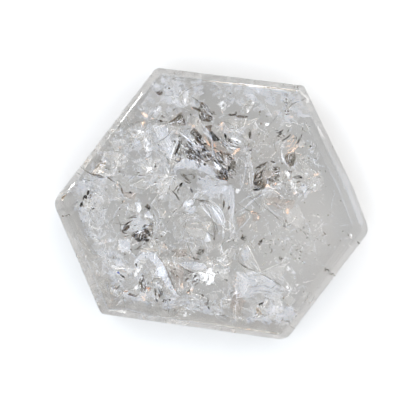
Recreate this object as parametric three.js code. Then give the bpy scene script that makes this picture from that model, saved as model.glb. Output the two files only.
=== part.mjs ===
// A hand-cut hexagonal slab of crackle quartz, polished all over.
// Millimetres, +Z up. The origin is on the resting face, under the middle of the slab's box.
// Seen from above, +X is to the right and +Y is away; the corners run anticlockwise.

import * as THREE from "three";

// ---------------------------------------------------------------- driving dimensions

const THICKNESS = 18; // from the resting face to the upper face
const SIDE_STEPS = 10; // straight steps along each side
const ARC_STEPS = 6; // straight steps round each corner
const BEVEL_STEPS = 6; // straight steps across each bevel
const BEVEL_CROWN = 1.1; // 1 is a flat chamfer and 2 a full round
const LEAST_RADIUS = 0.4; // of a corner's rounding, however far it is drawn in
const UPPER_DEPTH = 1.7; // how far the upper bevel reaches down the walls
const LOWER_DEPTH = 1.2; // how far the lower bevel reaches up them

// Each corner is the point where its two sides would meet, with its rounding in plan.
// The side that starts there has the widths in plan of its two bevels, at its start and its end.
const CORNERS = [
  { name: "left", at: [-39.4, 0.5], radius: 3.2, upper: [2.2, 2.0], lower: [1.2, 1.3] },
  { name: "lower_left", at: [-27.5, -27.3], radius: 2.0, upper: [1.3, 1.1], lower: [1.2, 1.2] },
  { name: "lower_right", at: [18.6, -33.85], radius: 3.4, upper: [2.0, 2.3], lower: [1.4, 1.2] },
  { name: "right", at: [39.4, -6.65], radius: 3.6, upper: [2.0, 2.1], lower: [1.2, 1.3] },
  { name: "right_bend", at: [35.2, 4.5], radius: 16, upper: [2.1, 1.7], lower: [1.3, 1.2] },
  { name: "upper_right", at: [23.0, 29.5], radius: 1.3, upper: [1.2, 1.6], lower: [1.1, 1.2] },
  { name: "upper_left", at: [-13.7, 34.0], radius: 1.8, upper: [1.9, 0.9], lower: [1.2, 1.1] },
];

// Where the wheel stayed longer, it widened the upper bevel over part of a side.
// A rub runs between two shares of its side's length, and extra is its added width at the middle.
const RUBS = [
  { side: "lower_left", from: 0.0, to: 0.25, extra: 0.9 },
  { side: "right_bend", from: 0.72, to: 1.0, extra: 0.8 },
  { side: "upper_left", from: 0.75, to: 1.0, extra: 0.8 },
];

// ---------------------------------------------------------------- outline at one level

const around = (index) => CORNERS[(index + CORNERS.length) % CORNERS.length];
const planPoint = ({ at }) => new THREE.Vector2(...at);

// One side, moved inwards by a share of its bevel's width at each end.
function drawnInSide(index, edge, share) {
  const side = around(index);
  const from = planPoint(side);
  const to = planPoint(around(index + 1));
  const along = to.clone().sub(from).normalize();
  const inward = new THREE.Vector2(-along.y, along.x);
  from.addScaledVector(inward, side[edge][0] * share);
  to.addScaledVector(inward, side[edge][1] * share);
  return { name: side.name, from, along: to.sub(from).normalize(), inward };
}

// Where two sides' lines cross.
function crossing(before, after) {
  const gap = after.from.clone().sub(before.from);
  const travelled = gap.cross(after.along) / before.along.cross(after.along);
  return before.from.clone().addScaledVector(before.along, travelled);
}

// The extra width that the rubs add to an upper bevel at a share of the way along its side.
function rubbedWidth(name, place) {
  let extra = 0;
  for (const rub of RUBS.filter(({ side }) => side === name)) {
    const across = THREE.MathUtils.clamp((place - rub.from) / (rub.to - rub.from), 0, 1);
    extra += rub.extra * Math.sin(Math.PI * across) ** 2;
  }
  return extra;
}

// The outline drawn in by a share of its bevel's widths: each side's steps, then its far corner's.
function outlineAt(edge, share) {
  const sides = CORNERS.map((_, index) => drawnInSide(index, edge, share));
  const meanWidth = (side) => (side[edge][0] + side[edge][1]) / 2;
  const corners = CORNERS.map((corner, index) => {
    const before = sides[(index + sides.length - 1) % sides.length];
    const turn = Math.acos(before.along.dot(sides[index].along));
    const radius = Math.max(corner.radius - meanWidth(corner) * share, LEAST_RADIUS);
    return { at: crossing(before, sides[index]), turn, radius, reach: radius * Math.tan(turn / 2) };
  });
  return sides.flatMap((side, index) => {
    const near = corners[index];
    const far = corners[(index + 1) % corners.length];
    const length = near.at.distanceTo(far.at);
    const rub = edge === "upper" ? share : 0;
    const points = [];
    for (let step = 0; step <= SIDE_STEPS; step += 1) {
      const travelled = THREE.MathUtils.lerp(near.reach, length - far.reach, step / SIDE_STEPS);
      const point = near.at.clone().addScaledVector(side.along, travelled);
      points.push(point.addScaledVector(side.inward, rub * rubbedWidth(side.name, step / SIDE_STEPS)));
    }
    const centre = far.at
      .clone()
      .addScaledVector(side.along, -far.reach)
      .addScaledVector(side.inward, far.radius);
    for (let step = 1; step < ARC_STEPS; step += 1) {
      const spoke = side.inward.clone().multiplyScalar(-far.radius);
      spoke.rotateAround(new THREE.Vector2(), (far.turn * step) / ARC_STEPS);
      points.push(centre.clone().add(spoke));
    }
    return points;
  });
}

// ---------------------------------------------------------------- solid

// The steps of a bevel's section, from the flat face out to the wall.
// Each gives how much of the width is still drawn in, and how much of the depth is reached.
function bevelSection() {
  return Array.from({ length: BEVEL_STEPS + 1 }, (_, step) => {
    const angle = (step / BEVEL_STEPS) * (Math.PI / 2);
    return {
      inShare: 1 - Math.sin(angle) ** (2 / BEVEL_CROWN),
      deepShare: 1 - Math.cos(angle) ** (2 / BEVEL_CROWN),
    };
  });
}

// The outlines that the skin passes through, from the resting face up.
function skinLevels() {
  const lower = bevelSection().map(({ inShare, deepShare }) => ({
    z: LOWER_DEPTH * deepShare,
    loop: outlineAt("lower", inShare),
  }));
  const upper = bevelSection().map(({ inShare, deepShare }) => ({
    z: THICKNESS - UPPER_DEPTH * deepShare,
    loop: outlineAt("upper", inShare),
  }));
  return [...lower, ...upper.reverse()];
}

function slabGeometry() {
  const levels = skinLevels();
  const count = levels[0].loop.length;
  const middle = new THREE.Box2().setFromPoints(outlineAt("upper", 0)).getCenter(new THREE.Vector2());
  const positions = levels.flatMap(({ z, loop }) =>
    loop.flatMap((point) => [point.x - middle.x, point.y - middle.y, z]),
  );
  const faces = [];
  for (let level = 0; level + 1 < levels.length; level += 1) {
    for (let i = 0; i < count; i += 1) {
      const a = level * count + i;
      const b = level * count + ((i + 1) % count);
      faces.push(a, b, b + count, a, b + count, a + count);
    }
  }
  const top = (levels.length - 1) * count;
  for (const [a, b, c] of THREE.ShapeUtils.triangulateShape(levels[0].loop, [])) {
    faces.push(a, c, b);
  }
  for (const [a, b, c] of THREE.ShapeUtils.triangulateShape(levels.at(-1).loop, [])) {
    faces.push(top + a, top + b, top + c);
  }
  const geometry = new THREE.BufferGeometry();
  geometry.setAttribute("position", new THREE.Float32BufferAttribute(positions, 3));
  geometry.setIndex(faces);
  geometry.computeVertexNormals();
  return geometry;
}

// ---------------------------------------------------------------- the part

function clearQuartz() {
  return new THREE.MeshStandardMaterial({
    name: "clear_quartz",
    color: 0xc9c8c3,
    roughness: 0.05,
    metalness: 0,
    transparent: true,
    opacity: 0.6,
  });
}

const part = new THREE.Group();
const slab = new THREE.Mesh(slabGeometry(), clearQuartz());
slab.name = "quartz_slab";
part.add(slab);

export default part;
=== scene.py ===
"""A hand-cut hexagon of crackle quartz: the clear polished stone and the cracks inside it."""
import math
import random
from collections import namedtuple

import bmesh
import bpy
from mathutils import Euler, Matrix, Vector, noise


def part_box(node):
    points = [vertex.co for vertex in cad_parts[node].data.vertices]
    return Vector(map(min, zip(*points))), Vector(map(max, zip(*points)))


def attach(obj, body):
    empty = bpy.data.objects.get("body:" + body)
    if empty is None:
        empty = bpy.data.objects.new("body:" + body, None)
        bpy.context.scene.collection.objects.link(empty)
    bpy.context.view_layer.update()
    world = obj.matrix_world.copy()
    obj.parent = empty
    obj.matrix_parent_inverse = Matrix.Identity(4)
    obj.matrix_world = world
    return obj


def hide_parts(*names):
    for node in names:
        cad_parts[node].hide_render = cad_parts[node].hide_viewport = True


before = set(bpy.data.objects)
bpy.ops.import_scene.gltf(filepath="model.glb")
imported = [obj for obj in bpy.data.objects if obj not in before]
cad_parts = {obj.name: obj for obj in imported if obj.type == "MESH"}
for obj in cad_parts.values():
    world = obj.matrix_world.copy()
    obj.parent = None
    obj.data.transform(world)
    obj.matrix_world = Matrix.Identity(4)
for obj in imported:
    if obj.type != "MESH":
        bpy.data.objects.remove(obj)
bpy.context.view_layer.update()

# ---------------------------------------------------------------- sizes
# Lengths are in millimetres, but for those of the studio.

MM = 0.001
LOW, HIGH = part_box("quartz_slab")
THICK = (HIGH[2] - LOW[2]) / MM  # from the resting face to the upper face
# The outline's corners and the faint bend of its right side, from the middle of the stone.
CORNERS = [(-39.4, 0.5), (-27.5, -27.3), (18.6, -33.85), (39.4, -6.65),
           (35.2, 4.5), (23.0, 29.5), (-13.7, 34.0)]
QUARTZ_IOR = 1.544
GAP = 0.03  # how far a crack stands open
SKIN = 0.7  # no crack comes nearer than this to the upper or the resting face
SIDE_SKIN = 1.5  # or than this to a side
EDGE_CUT = 3.0  # the depth over which cracks keep clear of the cut edges
GLARE = 0.07  # no large flake comes nearer than this to the slope that mirrors a bright lamp

# ---------------------------------------------------------------- materials

WHITE = (1, 1, 1)
QUARTZ_TINT = (0.82, 0.775, 0.715)  # what this lacks of white, the stone takes from light
TINT_DENSITY = 17  # and how fast it does so, per metre
SMOKY_SHADE = (0.95, 0.925, 0.91)  # the light that one wall of a smoky crack lets through
# Where the noise of a stain lies between bare and covered, and between dark and light.
BARE_BELOW, COVERED_ABOVE = 0.40, 0.60
DARKEST_AT, LIGHTEST_AT = 0.35, 0.65
SHADE_SPREAD = 0.7  # the shade changes this many times as often as the cover
STAIN_GLOSS = 0.05  # the roughness of a stained wall's mirror

# The films' colours, from dark to light.
BROWNS = [(0.015, 0.009, 0.005), (0.08, 0.042, 0.018), (0.13, 0.078, 0.04), (0.33, 0.26, 0.18)]
BLACKS = [(0.005, 0.004, 0.003), (0.015, 0.01, 0.006), (0.05, 0.032, 0.018)]
OLIVES = [(0.05, 0.043, 0.028), (0.15, 0.13, 0.085), (0.38, 0.35, 0.27)]
TANS = [(0.15, 0.132, 0.09), (0.27, 0.24, 0.175), (0.42, 0.38, 0.30)]
RUSTS = [(0.25, 0.07, 0.02), (0.55, 0.24, 0.10)]
# The blue film is a painted glint: it stands in for a prismatic flash of light.
PAINTED_GLINT_BLUES = [(0.03, 0.09, 0.85), (0.12, 0.28, 1.0)]
GREYS = [(0.05, 0.04, 0.035), (0.18, 0.15, 0.13)]


def new_material(name):
    material = bpy.data.materials.new(name)
    material.use_nodes = True
    return material, material.node_tree.nodes, material.node_tree.links


def polished_quartz():
    """Water-clear, faintly grey quartz."""
    material, nodes, links = new_material("polished_quartz")
    shader = nodes["Principled BSDF"]
    shader.inputs["Base Color"].default_value = (*WHITE, 1)
    shader.inputs["Roughness"].default_value = 0.0
    shader.inputs["Transmission Weight"].default_value = 1.0
    shader.inputs["IOR"].default_value = QUARTZ_IOR
    grey = nodes.new("ShaderNodeVolumeAbsorption")
    grey.inputs["Color"].default_value = (*QUARTZ_TINT, 1)
    grey.inputs["Density"].default_value = TINT_DENSITY
    links.new(grey.outputs["Volume"], nodes["Material Output"].inputs["Volume"])
    return material


def add_crack_mirror(nodes, links, beneath, roughness):
    """Lays the mirror of a thin air gap over a shader: faint seen straight on, full when steep."""
    mirror = nodes.new("ShaderNodeBsdfAnisotropic")
    mirror.inputs["Color"].default_value = (*WHITE, 1)
    mirror.inputs["Roughness"].default_value = roughness
    steepness = nodes.new("ShaderNodeFresnel")
    steepness.inputs["IOR"].default_value = 1 / QUARTZ_IOR
    wall = nodes.new("ShaderNodeMixShader")
    links.new(steepness.outputs["Fac"], wall.inputs["Fac"])
    links.new(beneath.outputs[0], wall.inputs[1])
    links.new(mirror.outputs["BSDF"], wall.inputs[2])
    links.new(wall.outputs["Shader"], nodes["Material Output"].inputs["Surface"])


def crack_wall(name, roughness, shade=WHITE):
    """The bare wall of a crack. shade is the light that it lets through."""
    material, nodes, links = new_material(name)
    nodes.remove(nodes["Principled BSDF"])
    through = nodes.new("ShaderNodeBsdfTransparent")
    through.inputs["Color"].default_value = (*shade, 1)
    add_crack_mirror(nodes, links, through, roughness)
    return material


def stain_and_glint_pattern():
    """The group that gives the uneven cover and shade of a coloured film: iron stain, and the painted
    glint.
    """
    group = bpy.data.node_groups.new("stain_and_glint_pattern", "ShaderNodeTree")
    for name in ("Grain Scale", "Shade Scale", "Least Cover", "Most Cover"):
        group.interface.new_socket(name, in_out="INPUT", socket_type="NodeSocketFloat")
    for name in ("Cover", "Shade"):
        group.interface.new_socket(name, in_out="OUTPUT", socket_type="NodeSocketFloat")
    nodes, links = group.nodes, group.links
    given = nodes.new("NodeGroupInput")
    result = nodes.new("NodeGroupOutput")
    place = nodes.new("ShaderNodeTexCoord")
    cloud = nodes.new("ShaderNodeTexNoise")
    cloud.inputs["Detail"].default_value = 3
    links.new(place.outputs["Object"], cloud.inputs["Vector"])
    links.new(given.outputs["Grain Scale"], cloud.inputs["Scale"])
    cover = nodes.new("ShaderNodeMapRange")
    cover.inputs["From Min"].default_value = BARE_BELOW
    cover.inputs["From Max"].default_value = COVERED_ABOVE
    links.new(cloud.outputs["Fac"], cover.inputs["Value"])
    links.new(given.outputs["Least Cover"], cover.inputs["To Min"])
    links.new(given.outputs["Most Cover"], cover.inputs["To Max"])
    patches = nodes.new("ShaderNodeTexNoise")
    patches.inputs["Detail"].default_value = 2
    links.new(place.outputs["Object"], patches.inputs["Vector"])
    links.new(given.outputs["Shade Scale"], patches.inputs["Scale"])
    links.new(cover.outputs["Result"], result.inputs["Cover"])
    links.new(patches.outputs["Fac"], result.inputs["Shade"])
    return group


STAIN_AND_GLINT_PATTERN = stain_and_glint_pattern()


def colour_ramp(nodes, stops):
    """A ramp through stops, each a place on it and a colour."""
    ramp = nodes.new("ShaderNodeValToRGB")
    elements = ramp.color_ramp.elements
    elements.remove(elements[-1])
    for index, (position, colour) in enumerate(stops):
        stop = elements[0] if index == 0 else elements.new(position)
        stop.position = position
        stop.color = (*colour, 1)
    return ramp


def stain_and_glint_wall(name, colours, least, most, grain):
    """A crack wall with an uneven coloured film of iron stain; one such film is a painted glint
    instead.

    colours run from dark to light, least and most are how much of the wall the film covers, and
    grain is how wide its patches are.
    """
    material, nodes, links = new_material(name)
    nodes.remove(nodes["Principled BSDF"])
    pattern = nodes.new("ShaderNodeGroup")
    pattern.node_tree = STAIN_AND_GLINT_PATTERN
    pattern.inputs["Grain Scale"].default_value = 1 / (grain * MM)
    pattern.inputs["Shade Scale"].default_value = SHADE_SPREAD / (grain * MM)
    pattern.inputs["Least Cover"].default_value = least
    pattern.inputs["Most Cover"].default_value = most
    step = (LIGHTEST_AT - DARKEST_AT) / (len(colours) - 1)
    shades = colour_ramp(nodes, [(DARKEST_AT + step * index, colour)
                                 for index, colour in enumerate(colours)])
    links.new(pattern.outputs["Shade"], shades.inputs["Fac"])
    through = nodes.new("ShaderNodeBsdfTransparent")
    film = nodes.new("ShaderNodeBsdfDiffuse")
    links.new(shades.outputs["Color"], film.inputs["Color"])
    mixed = nodes.new("ShaderNodeMixShader")
    links.new(pattern.outputs["Cover"], mixed.inputs["Fac"])
    links.new(through.outputs["BSDF"], mixed.inputs[1])
    links.new(film.outputs["BSDF"], mixed.inputs[2])
    add_crack_mirror(nodes, links, mixed, STAIN_GLOSS)
    return material


# ---------------------------------------------------------------- the stone

WELD = 0.002  # corners of the solid slab nearer than this are one
FLAT_ANGLE = math.radians(0.5)  # neighbouring faces that turn less than this are one
SHARP_ANGLE = math.radians(20)  # edges that turn more than this are eased
EASE = 0.22  # how far they are eased
FLAT_RIM = 0.35  # a narrow rim that keeps the shading of the flat faces flat


def stone_body(material):
    """A merged copy of the solid slab, with its sharp edges eased."""
    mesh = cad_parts["quartz_slab"].data.copy()
    stone = bpy.data.objects.new("quartz_stone", mesh)
    bpy.context.scene.collection.objects.link(stone)
    bm = bmesh.new()
    bm.from_mesh(mesh)
    bmesh.ops.remove_doubles(bm, verts=bm.verts, dist=WELD * MM)
    bmesh.ops.dissolve_limit(bm, angle_limit=FLAT_ANGLE, verts=bm.verts, edges=bm.edges)
    sharp = [edge for edge in bm.edges if edge.calc_face_angle(0) > SHARP_ANGLE]
    bmesh.ops.bevel(bm, geom=sharp, offset=EASE * MM, affect="EDGES", segments=3, profile=0.5,
                    material=-1, clamp_overlap=True)
    level = [face for face in bm.faces if abs(face.normal.z) > 0.999]
    bmesh.ops.inset_region(bm, faces=level, thickness=FLAT_RIM * MM, use_even_offset=True)
    for face in bm.faces:
        face.smooth = True
    bm.to_mesh(mesh)
    bm.free()
    mesh.set_sharp_from_angle(angle=SHARP_ANGLE)
    mesh.materials.clear()
    mesh.materials.append(material)
    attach(stone, "root")
    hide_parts("quartz_slab")


# ---------------------------------------------------------------- lights and slopes

CAMERA_HEIGHT = 420.0
# Each light: its compass direction seen from above, its angle off the vertical, its distance.
KEY = (233, 16, 900)
WINDOW = (142, 34, 900)
WARM = (65, 38, 900)
# Low strips of light, which the polished bevels mirror as short bright streaks.
LEFT_STRIP = (140.95, 86.0, 925)
RIGHT_STRIP = (26.7, 79, 937)
LOWER_STRIP = (260, 82, 936)


def bearing(compass, off_vertical, reach):
    """The point at a reach in a direction."""
    across = math.sin(math.radians(off_vertical)) * reach
    return Vector((math.cos(math.radians(compass)) * across,
                   math.sin(math.radians(compass)) * across,
                   math.cos(math.radians(off_vertical)) * reach))


def inside(way):
    """A direction outside the upper face, as it runs inside the quartz."""
    way = way.normalized()
    flat = Vector((way.x, way.y)) / QUARTZ_IOR
    return Vector((flat.x, flat.y, math.sqrt(1 - flat.length_squared)))


def leaning(tilt, toward):
    """The slope of a crack that leans by an angle towards a compass direction."""
    fall = -math.tan(math.radians(tilt))
    return Vector((math.cos(math.radians(toward)), math.sin(math.radians(toward)))) * fall


def facing(light, place):
    """The slope of a crack at a place that mirrors a light straight up to the viewer."""
    spot = Vector((place[0], place[1], THICK))
    to_viewer = inside(Vector((0, 0, CAMERA_HEIGHT)) - spot)
    to_light = inside(bearing(*light) - spot)
    up = to_viewer + to_light
    return Vector((-up.x / up.z, -up.y / up.z))


def random_slope(draw, place, light=None, askew=0.03, tilt=(0, 60)):
    """A slope that faces a light, give or take askew, or leans by a tilt any way."""
    if light:
        return facing(light, place) + Vector((draw.gauss(0, askew), draw.gauss(0, askew)))
    return leaning(draw.uniform(*tilt), draw.uniform(0, 360))


# ---------------------------------------------------------------- outlines and paths


def along(outline, share):
    """The point at a share of the way round an outline."""
    place = (share % 1.0) * len(outline)
    first = int(place) % len(outline)
    second = (first + 1) % len(outline)
    return Vector(outline[first]).lerp(Vector(outline[second]), place - int(place))


def centre(outline):
    return sum((Vector(point) for point in outline), Vector((0, 0))) / len(outline)


def blob(middle, width, height, turn, seed, jag, points=9):
    """An uneven round outline."""
    draw = random.Random(seed)
    spin = math.radians(turn)
    outline = []
    for step in range(points):
        angle = math.tau * step / points
        reach = 1 + draw.uniform(-jag, jag)
        x = width / 2 * math.cos(angle) * reach
        y = height / 2 * math.sin(angle) * reach
        outline.append((middle[0] + x * math.cos(spin) - y * math.sin(spin),
                        middle[1] + x * math.sin(spin) + y * math.cos(spin)))
    return outline


def strewn(draw, outline):
    """A random point inside an outline."""
    middle = centre(outline)
    edge = along(outline, draw.random())
    return middle.lerp(edge, math.sqrt(draw.random()))


def curve_point(path, share):
    """The point at a share of the way along a smooth curve through a path's points."""
    last = len(path) - 1
    place = min(max(share, 0.0) * last, last - 1e-6)
    first = int(place)
    part = place - first
    before, start, end, after = (Vector(path[min(max(first + step, 0), last)])
                                 for step in (-1, 0, 1, 2))
    return 0.5 * (2 * start + (end - before) * part
                  + (2 * before - 5 * start + 4 * end - after) * part ** 2
                  + (3 * start - 3 * end + after - before) * part ** 3)


def hexagon_sides():
    """Each side's start, and its direction out of the stone."""
    sides = []
    for start, end in zip(CORNERS, CORNERS[1:] + CORNERS[:1]):
        run = Vector(end) - Vector(start)
        sides.append((Vector(start), Vector((run.y, -run.x)).normalized()))
    return sides


SIDES = hexagon_sides()


def buried(spot):
    """Whether a point lies deep enough inside the stone to be part of a crack."""
    if not SKIN < spot.z < THICK - SKIN:
        return False
    margin = SIDE_SKIN + max(0.0, spot.z - (THICK - EDGE_CUT))
    flat = spot.to_2d()
    return all(out.dot(flat - start) < -margin for start, out in SIDES)


# ---------------------------------------------------------------- cracks

SHAKE = 0.7  # how far, in half cells, the corners of a faceted sheet are moved about
STILL_EDGE = 0.99  # the share of the way out at which they stay where they are
SWIRL_AWAY = Vector((8, 5))  # from a sheet's middle to where its waves spread from
SEED_EAST, SEED_NORTH = 7.3, 3.1  # how far apart in the noise two seeds lie
HOLE_SCALE = 0.7  # the holes of a laced sheet, as a share of the width of its folds
FRAY_SCALE = 0.8  # how often an uneven edge turns, per millimetre
FINE_FOLDS = 2.3  # the small folds are this many times finer than the large ones
TIP = 0.2  # the share of its width that a narrow crack keeps at its ends
CRUMPLE = 0.06  # the height of the folds of a flake that is two across
CRUMPLE_FOLDS = 2.3  # and how often they turn
FOLD_ANGLE = math.radians(50)  # folds sharper than this show as edges


def curl_rim(bm, width, rise):
    """Turns up a sheet's edge, which makes it catch the light as a thin line."""
    bmesh.ops.inset_region(bm, faces=bm.faces[:], thickness=width, depth=rise, use_boundary=True,
                           use_even_offset=True)


def settle(bm, batch, faceted, opening=(0, 0, GAP)):
    """Trims a sheet to the stone, opens its gap, turns it to metres and adds it to a batch."""
    outside = [vert for vert in bm.verts if not buried(vert.co)]
    bmesh.ops.delete(bm, geom=outside, context="VERTS")
    lid = bmesh.ops.extrude_face_region(bm, geom=bm.faces[:])["geom"]
    lifted = [part for part in lid if isinstance(part, bmesh.types.BMVert)]
    bmesh.ops.translate(bm, vec=opening, verts=lifted)
    bmesh.ops.recalc_face_normals(bm, faces=bm.faces)
    for face in bm.faces:
        face.smooth = not faceted
    for vert in bm.verts:
        # Places are as seen on the upper face: what lies deeper stands a little further out.
        spread = 1 + (THICK - vert.co.z) / (QUARTZ_IOR * CAMERA_HEIGHT)
        vert.co.x *= spread
        vert.co.y *= spread
    bmesh.ops.scale(bm, vec=(MM, MM, MM), verts=bm.verts)
    sheet = bpy.data.meshes.new("sheet")
    bm.to_mesh(sheet)
    batch.from_mesh(sheet)
    bm.free()
    bpy.data.meshes.remove(sheet)


def crack(batch, outline, z, lean=(0, 0), dome=0.0, ripple=0.0, wave=1.0, swirl=None,
          crush=0.0, grain=1.5, fray=0.0, lace=0.0, cells=16, faceted=False, rim=0.0, seed=0):
    """A thin open crack over an outline seen from above, added to a batch.

    dome is its bulge, ripple the height of the waves that spread from swirl, crush the height
    of its folds and grain their width. fray is how uneven its edge is, and lace is the share
    of it that is missing. rim is the width of its turned-up edge.
    """
    draw = random.Random(seed)
    middle = centre(outline)
    lean = Vector(lean)
    swirl = Vector(swirl) if swirl else middle + SWIRL_AWAY
    shift = Vector((seed * SEED_EAST, seed * SEED_NORTH, 0))
    bm = bmesh.new()
    bmesh.ops.create_grid(bm, x_segments=cells, y_segments=cells, size=1)
    if faceted:
        bmesh.ops.triangulate(bm, faces=bm.faces[:])
    for vert in bm.verts:
        if faceted and max(abs(vert.co.x), abs(vert.co.y)) < STILL_EDGE:
            vert.co.x += draw.uniform(-SHAKE, SHAKE) / cells
            vert.co.y += draw.uniform(-SHAKE, SHAKE) / cells
        reach = max(abs(vert.co.x), abs(vert.co.y))
        turn = math.atan2(vert.co.y, vert.co.x) / math.tau
        edge = along(outline, turn)
        if fray:
            edge += (middle - edge) * fray * noise.noise(edge.to_3d() * FRAY_SCALE + shift)
        flat = middle.lerp(edge, reach)
        height = z + lean.dot(flat - middle) + dome * (1 - reach * reach)
        if ripple:
            height += ripple * math.sin(math.tau * (flat - swirl).length / wave)
        if crush:
            spot = Vector((flat.x / grain, flat.y / grain, z)) + shift
            height += crush * (noise.noise(spot) + 0.5 * noise.noise(spot * FINE_FOLDS))
        vert.co = Vector((flat.x, flat.y, height))
    if lace:
        holes = [face for face in bm.faces
                 if noise.noise(face.calc_center_median() / (HOLE_SCALE * grain) + shift) > 0.5 - lace]
        bmesh.ops.delete(bm, geom=holes, context="FACES")
    if rim:
        curl_rim(bm, rim, rim)
    settle(bm, batch, faceted)


def seam(batch, path, width, z, slope=(0, 0), steps=5):
    """A narrow crack along a smooth path; it tapers to both ends."""
    slope = Vector(slope)
    middle = curve_point(path, 0.5)
    bm = bmesh.new()
    bmesh.ops.create_grid(bm, x_segments=(len(path) - 1) * steps, y_segments=1, size=1)
    for vert in bm.verts:
        share = (vert.co.x + 1) / 2
        onward = curve_point(path, share + 0.01) - curve_point(path, share - 0.01)
        sideways = onward.orthogonal().normalized()
        half = width / 2 * vert.co.y * (TIP + (1 - TIP) * math.sin(math.pi * share))
        spot = curve_point(path, share) + sideways * half
        vert.co = Vector((spot.x, spot.y, z + slope.dot(spot - middle)))
    settle(bm, batch, False)


def flake(batch, draw, spot, size, tilt, bend):
    """A curved, faintly rippled crack of any tilt with a broken outline, like a chilled glass's."""
    bm = bmesh.new()
    bmesh.ops.create_grid(bm, x_segments=9, y_segments=9, size=1)
    corners = draw.randint(3, 5)
    for corner in range(corners):
        angle = math.tau * (corner + draw.uniform(-0.3, 0.3)) / corners
        outward = Vector((math.cos(angle), math.sin(angle), 0))
        bmesh.ops.bisect_plane(bm, geom=bm.verts[:] + bm.edges[:] + bm.faces[:], clear_outer=True,
                               plane_co=outward * draw.uniform(0.3, 0.9), plane_no=outward)
    bow, sag = draw.uniform(-0.25, 0.25), draw.uniform(-0.2, 0.2)
    origin = Vector((draw.uniform(-1.5, 1.5), draw.uniform(-1.5, 1.5)))
    ripple, wave = draw.uniform(0.004, 0.02), draw.uniform(0.18, 0.4)
    shift = Vector((draw.uniform(0, 50), draw.uniform(0, 50), 0))
    slimness = draw.uniform(0.3, 0.9)
    for vert in bm.verts:
        x, y = vert.co.x, vert.co.y
        far = (Vector((x, y)) - origin).length
        height = bow * x * x + sag * y * y + bow * x * y / 2
        height += ripple * math.sin(math.tau * far / wave)
        height += CRUMPLE * noise.noise(Vector((x, y, 0)) * CRUMPLE_FOLDS + shift)
        vert.co = Vector((x, y * slimness, height * bend)) * size / 2
    curl_rim(bm, draw.uniform(0.06, 0.14), draw.choice((-1, 1)) * draw.uniform(0.04, 0.12))
    pose = Euler((tilt, 0, draw.uniform(0, math.tau))).to_matrix().to_4x4()
    way_up = pose.to_3x3() @ Vector((0, 0, 1))
    slope = Vector((-way_up.x, -way_up.y)) / way_up.z
    if any((slope - facing(light, spot)).length < GLARE for light in (WINDOW, WARM)):
        bm.free()
        return
    spin = Euler((0, 0, draw.uniform(0, math.tau))).to_matrix()
    bmesh.ops.rotate(bm, matrix=spin, verts=bm.verts)
    bmesh.ops.transform(bm, matrix=pose, verts=bm.verts)
    bmesh.ops.translate(bm, vec=spot, verts=bm.verts)
    settle(bm, batch, False, opening=pose.to_3x3() @ Vector((0, 0, GAP)))


def piece(name, batch, material):
    """Makes a batch of cracks one piece of the stone."""
    mesh = bpy.data.meshes.new(name)
    batch.to_mesh(mesh)
    batch.free()
    mesh.set_sharp_from_angle(angle=FOLD_ANGLE)
    mesh.materials.append(material)
    made = bpy.data.objects.new(name, mesh)
    bpy.context.scene.collection.objects.link(made)
    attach(made, "root")


def scatter(batch, draw, outline, count, size, slim=(0.25, 0.8), turn=0, spread=180, z=(9, 15),
            crush=0.0, **slopes):
    """Strews small angular cracks over an outline.

    turn is the way they run, in degrees from +X, and spread how much it varies. slopes are the
    light, askew or tilt of a random slope.
    """
    for _ in range(count):
        spot = strewn(draw, outline)
        length = draw.uniform(*size)
        shape = blob(spot, length, length * draw.uniform(*slim),
                     turn + draw.uniform(-spread, spread), draw.random(), jag=0.45, points=6)
        slope = random_slope(draw, spot, **slopes)
        crack(batch, shape, z=draw.uniform(*z), lean=slope, crush=crush * length,
              grain=length * 0.4, cells=3, faceted=True, seed=draw.randint(0, 9999))


def strokes(batch, draw, outline, count, size, width, turn=0, spread=20, z=(9, 15), **slopes):
    """Strews short bent strokes, each a narrow crack, over an outline."""
    for _ in range(count):
        spot = strewn(draw, outline)
        run = math.radians(turn + draw.uniform(-spread, spread))
        half = Vector((math.cos(run), math.sin(run))) * draw.uniform(*size) / 2
        bend = half.orthogonal() * draw.uniform(-0.35, 0.35)
        slope = random_slope(draw, spot, **slopes)
        seam(batch, [spot - half, spot + bend, spot + half], draw.uniform(*width),
             draw.uniform(*z), slope=slope, steps=2)


# ---------------------------------------------------------------- where the cracks are
# Places are from the stone's middle, as seen from above through its upper face. Depths are
# heights above the resting face.

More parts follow.
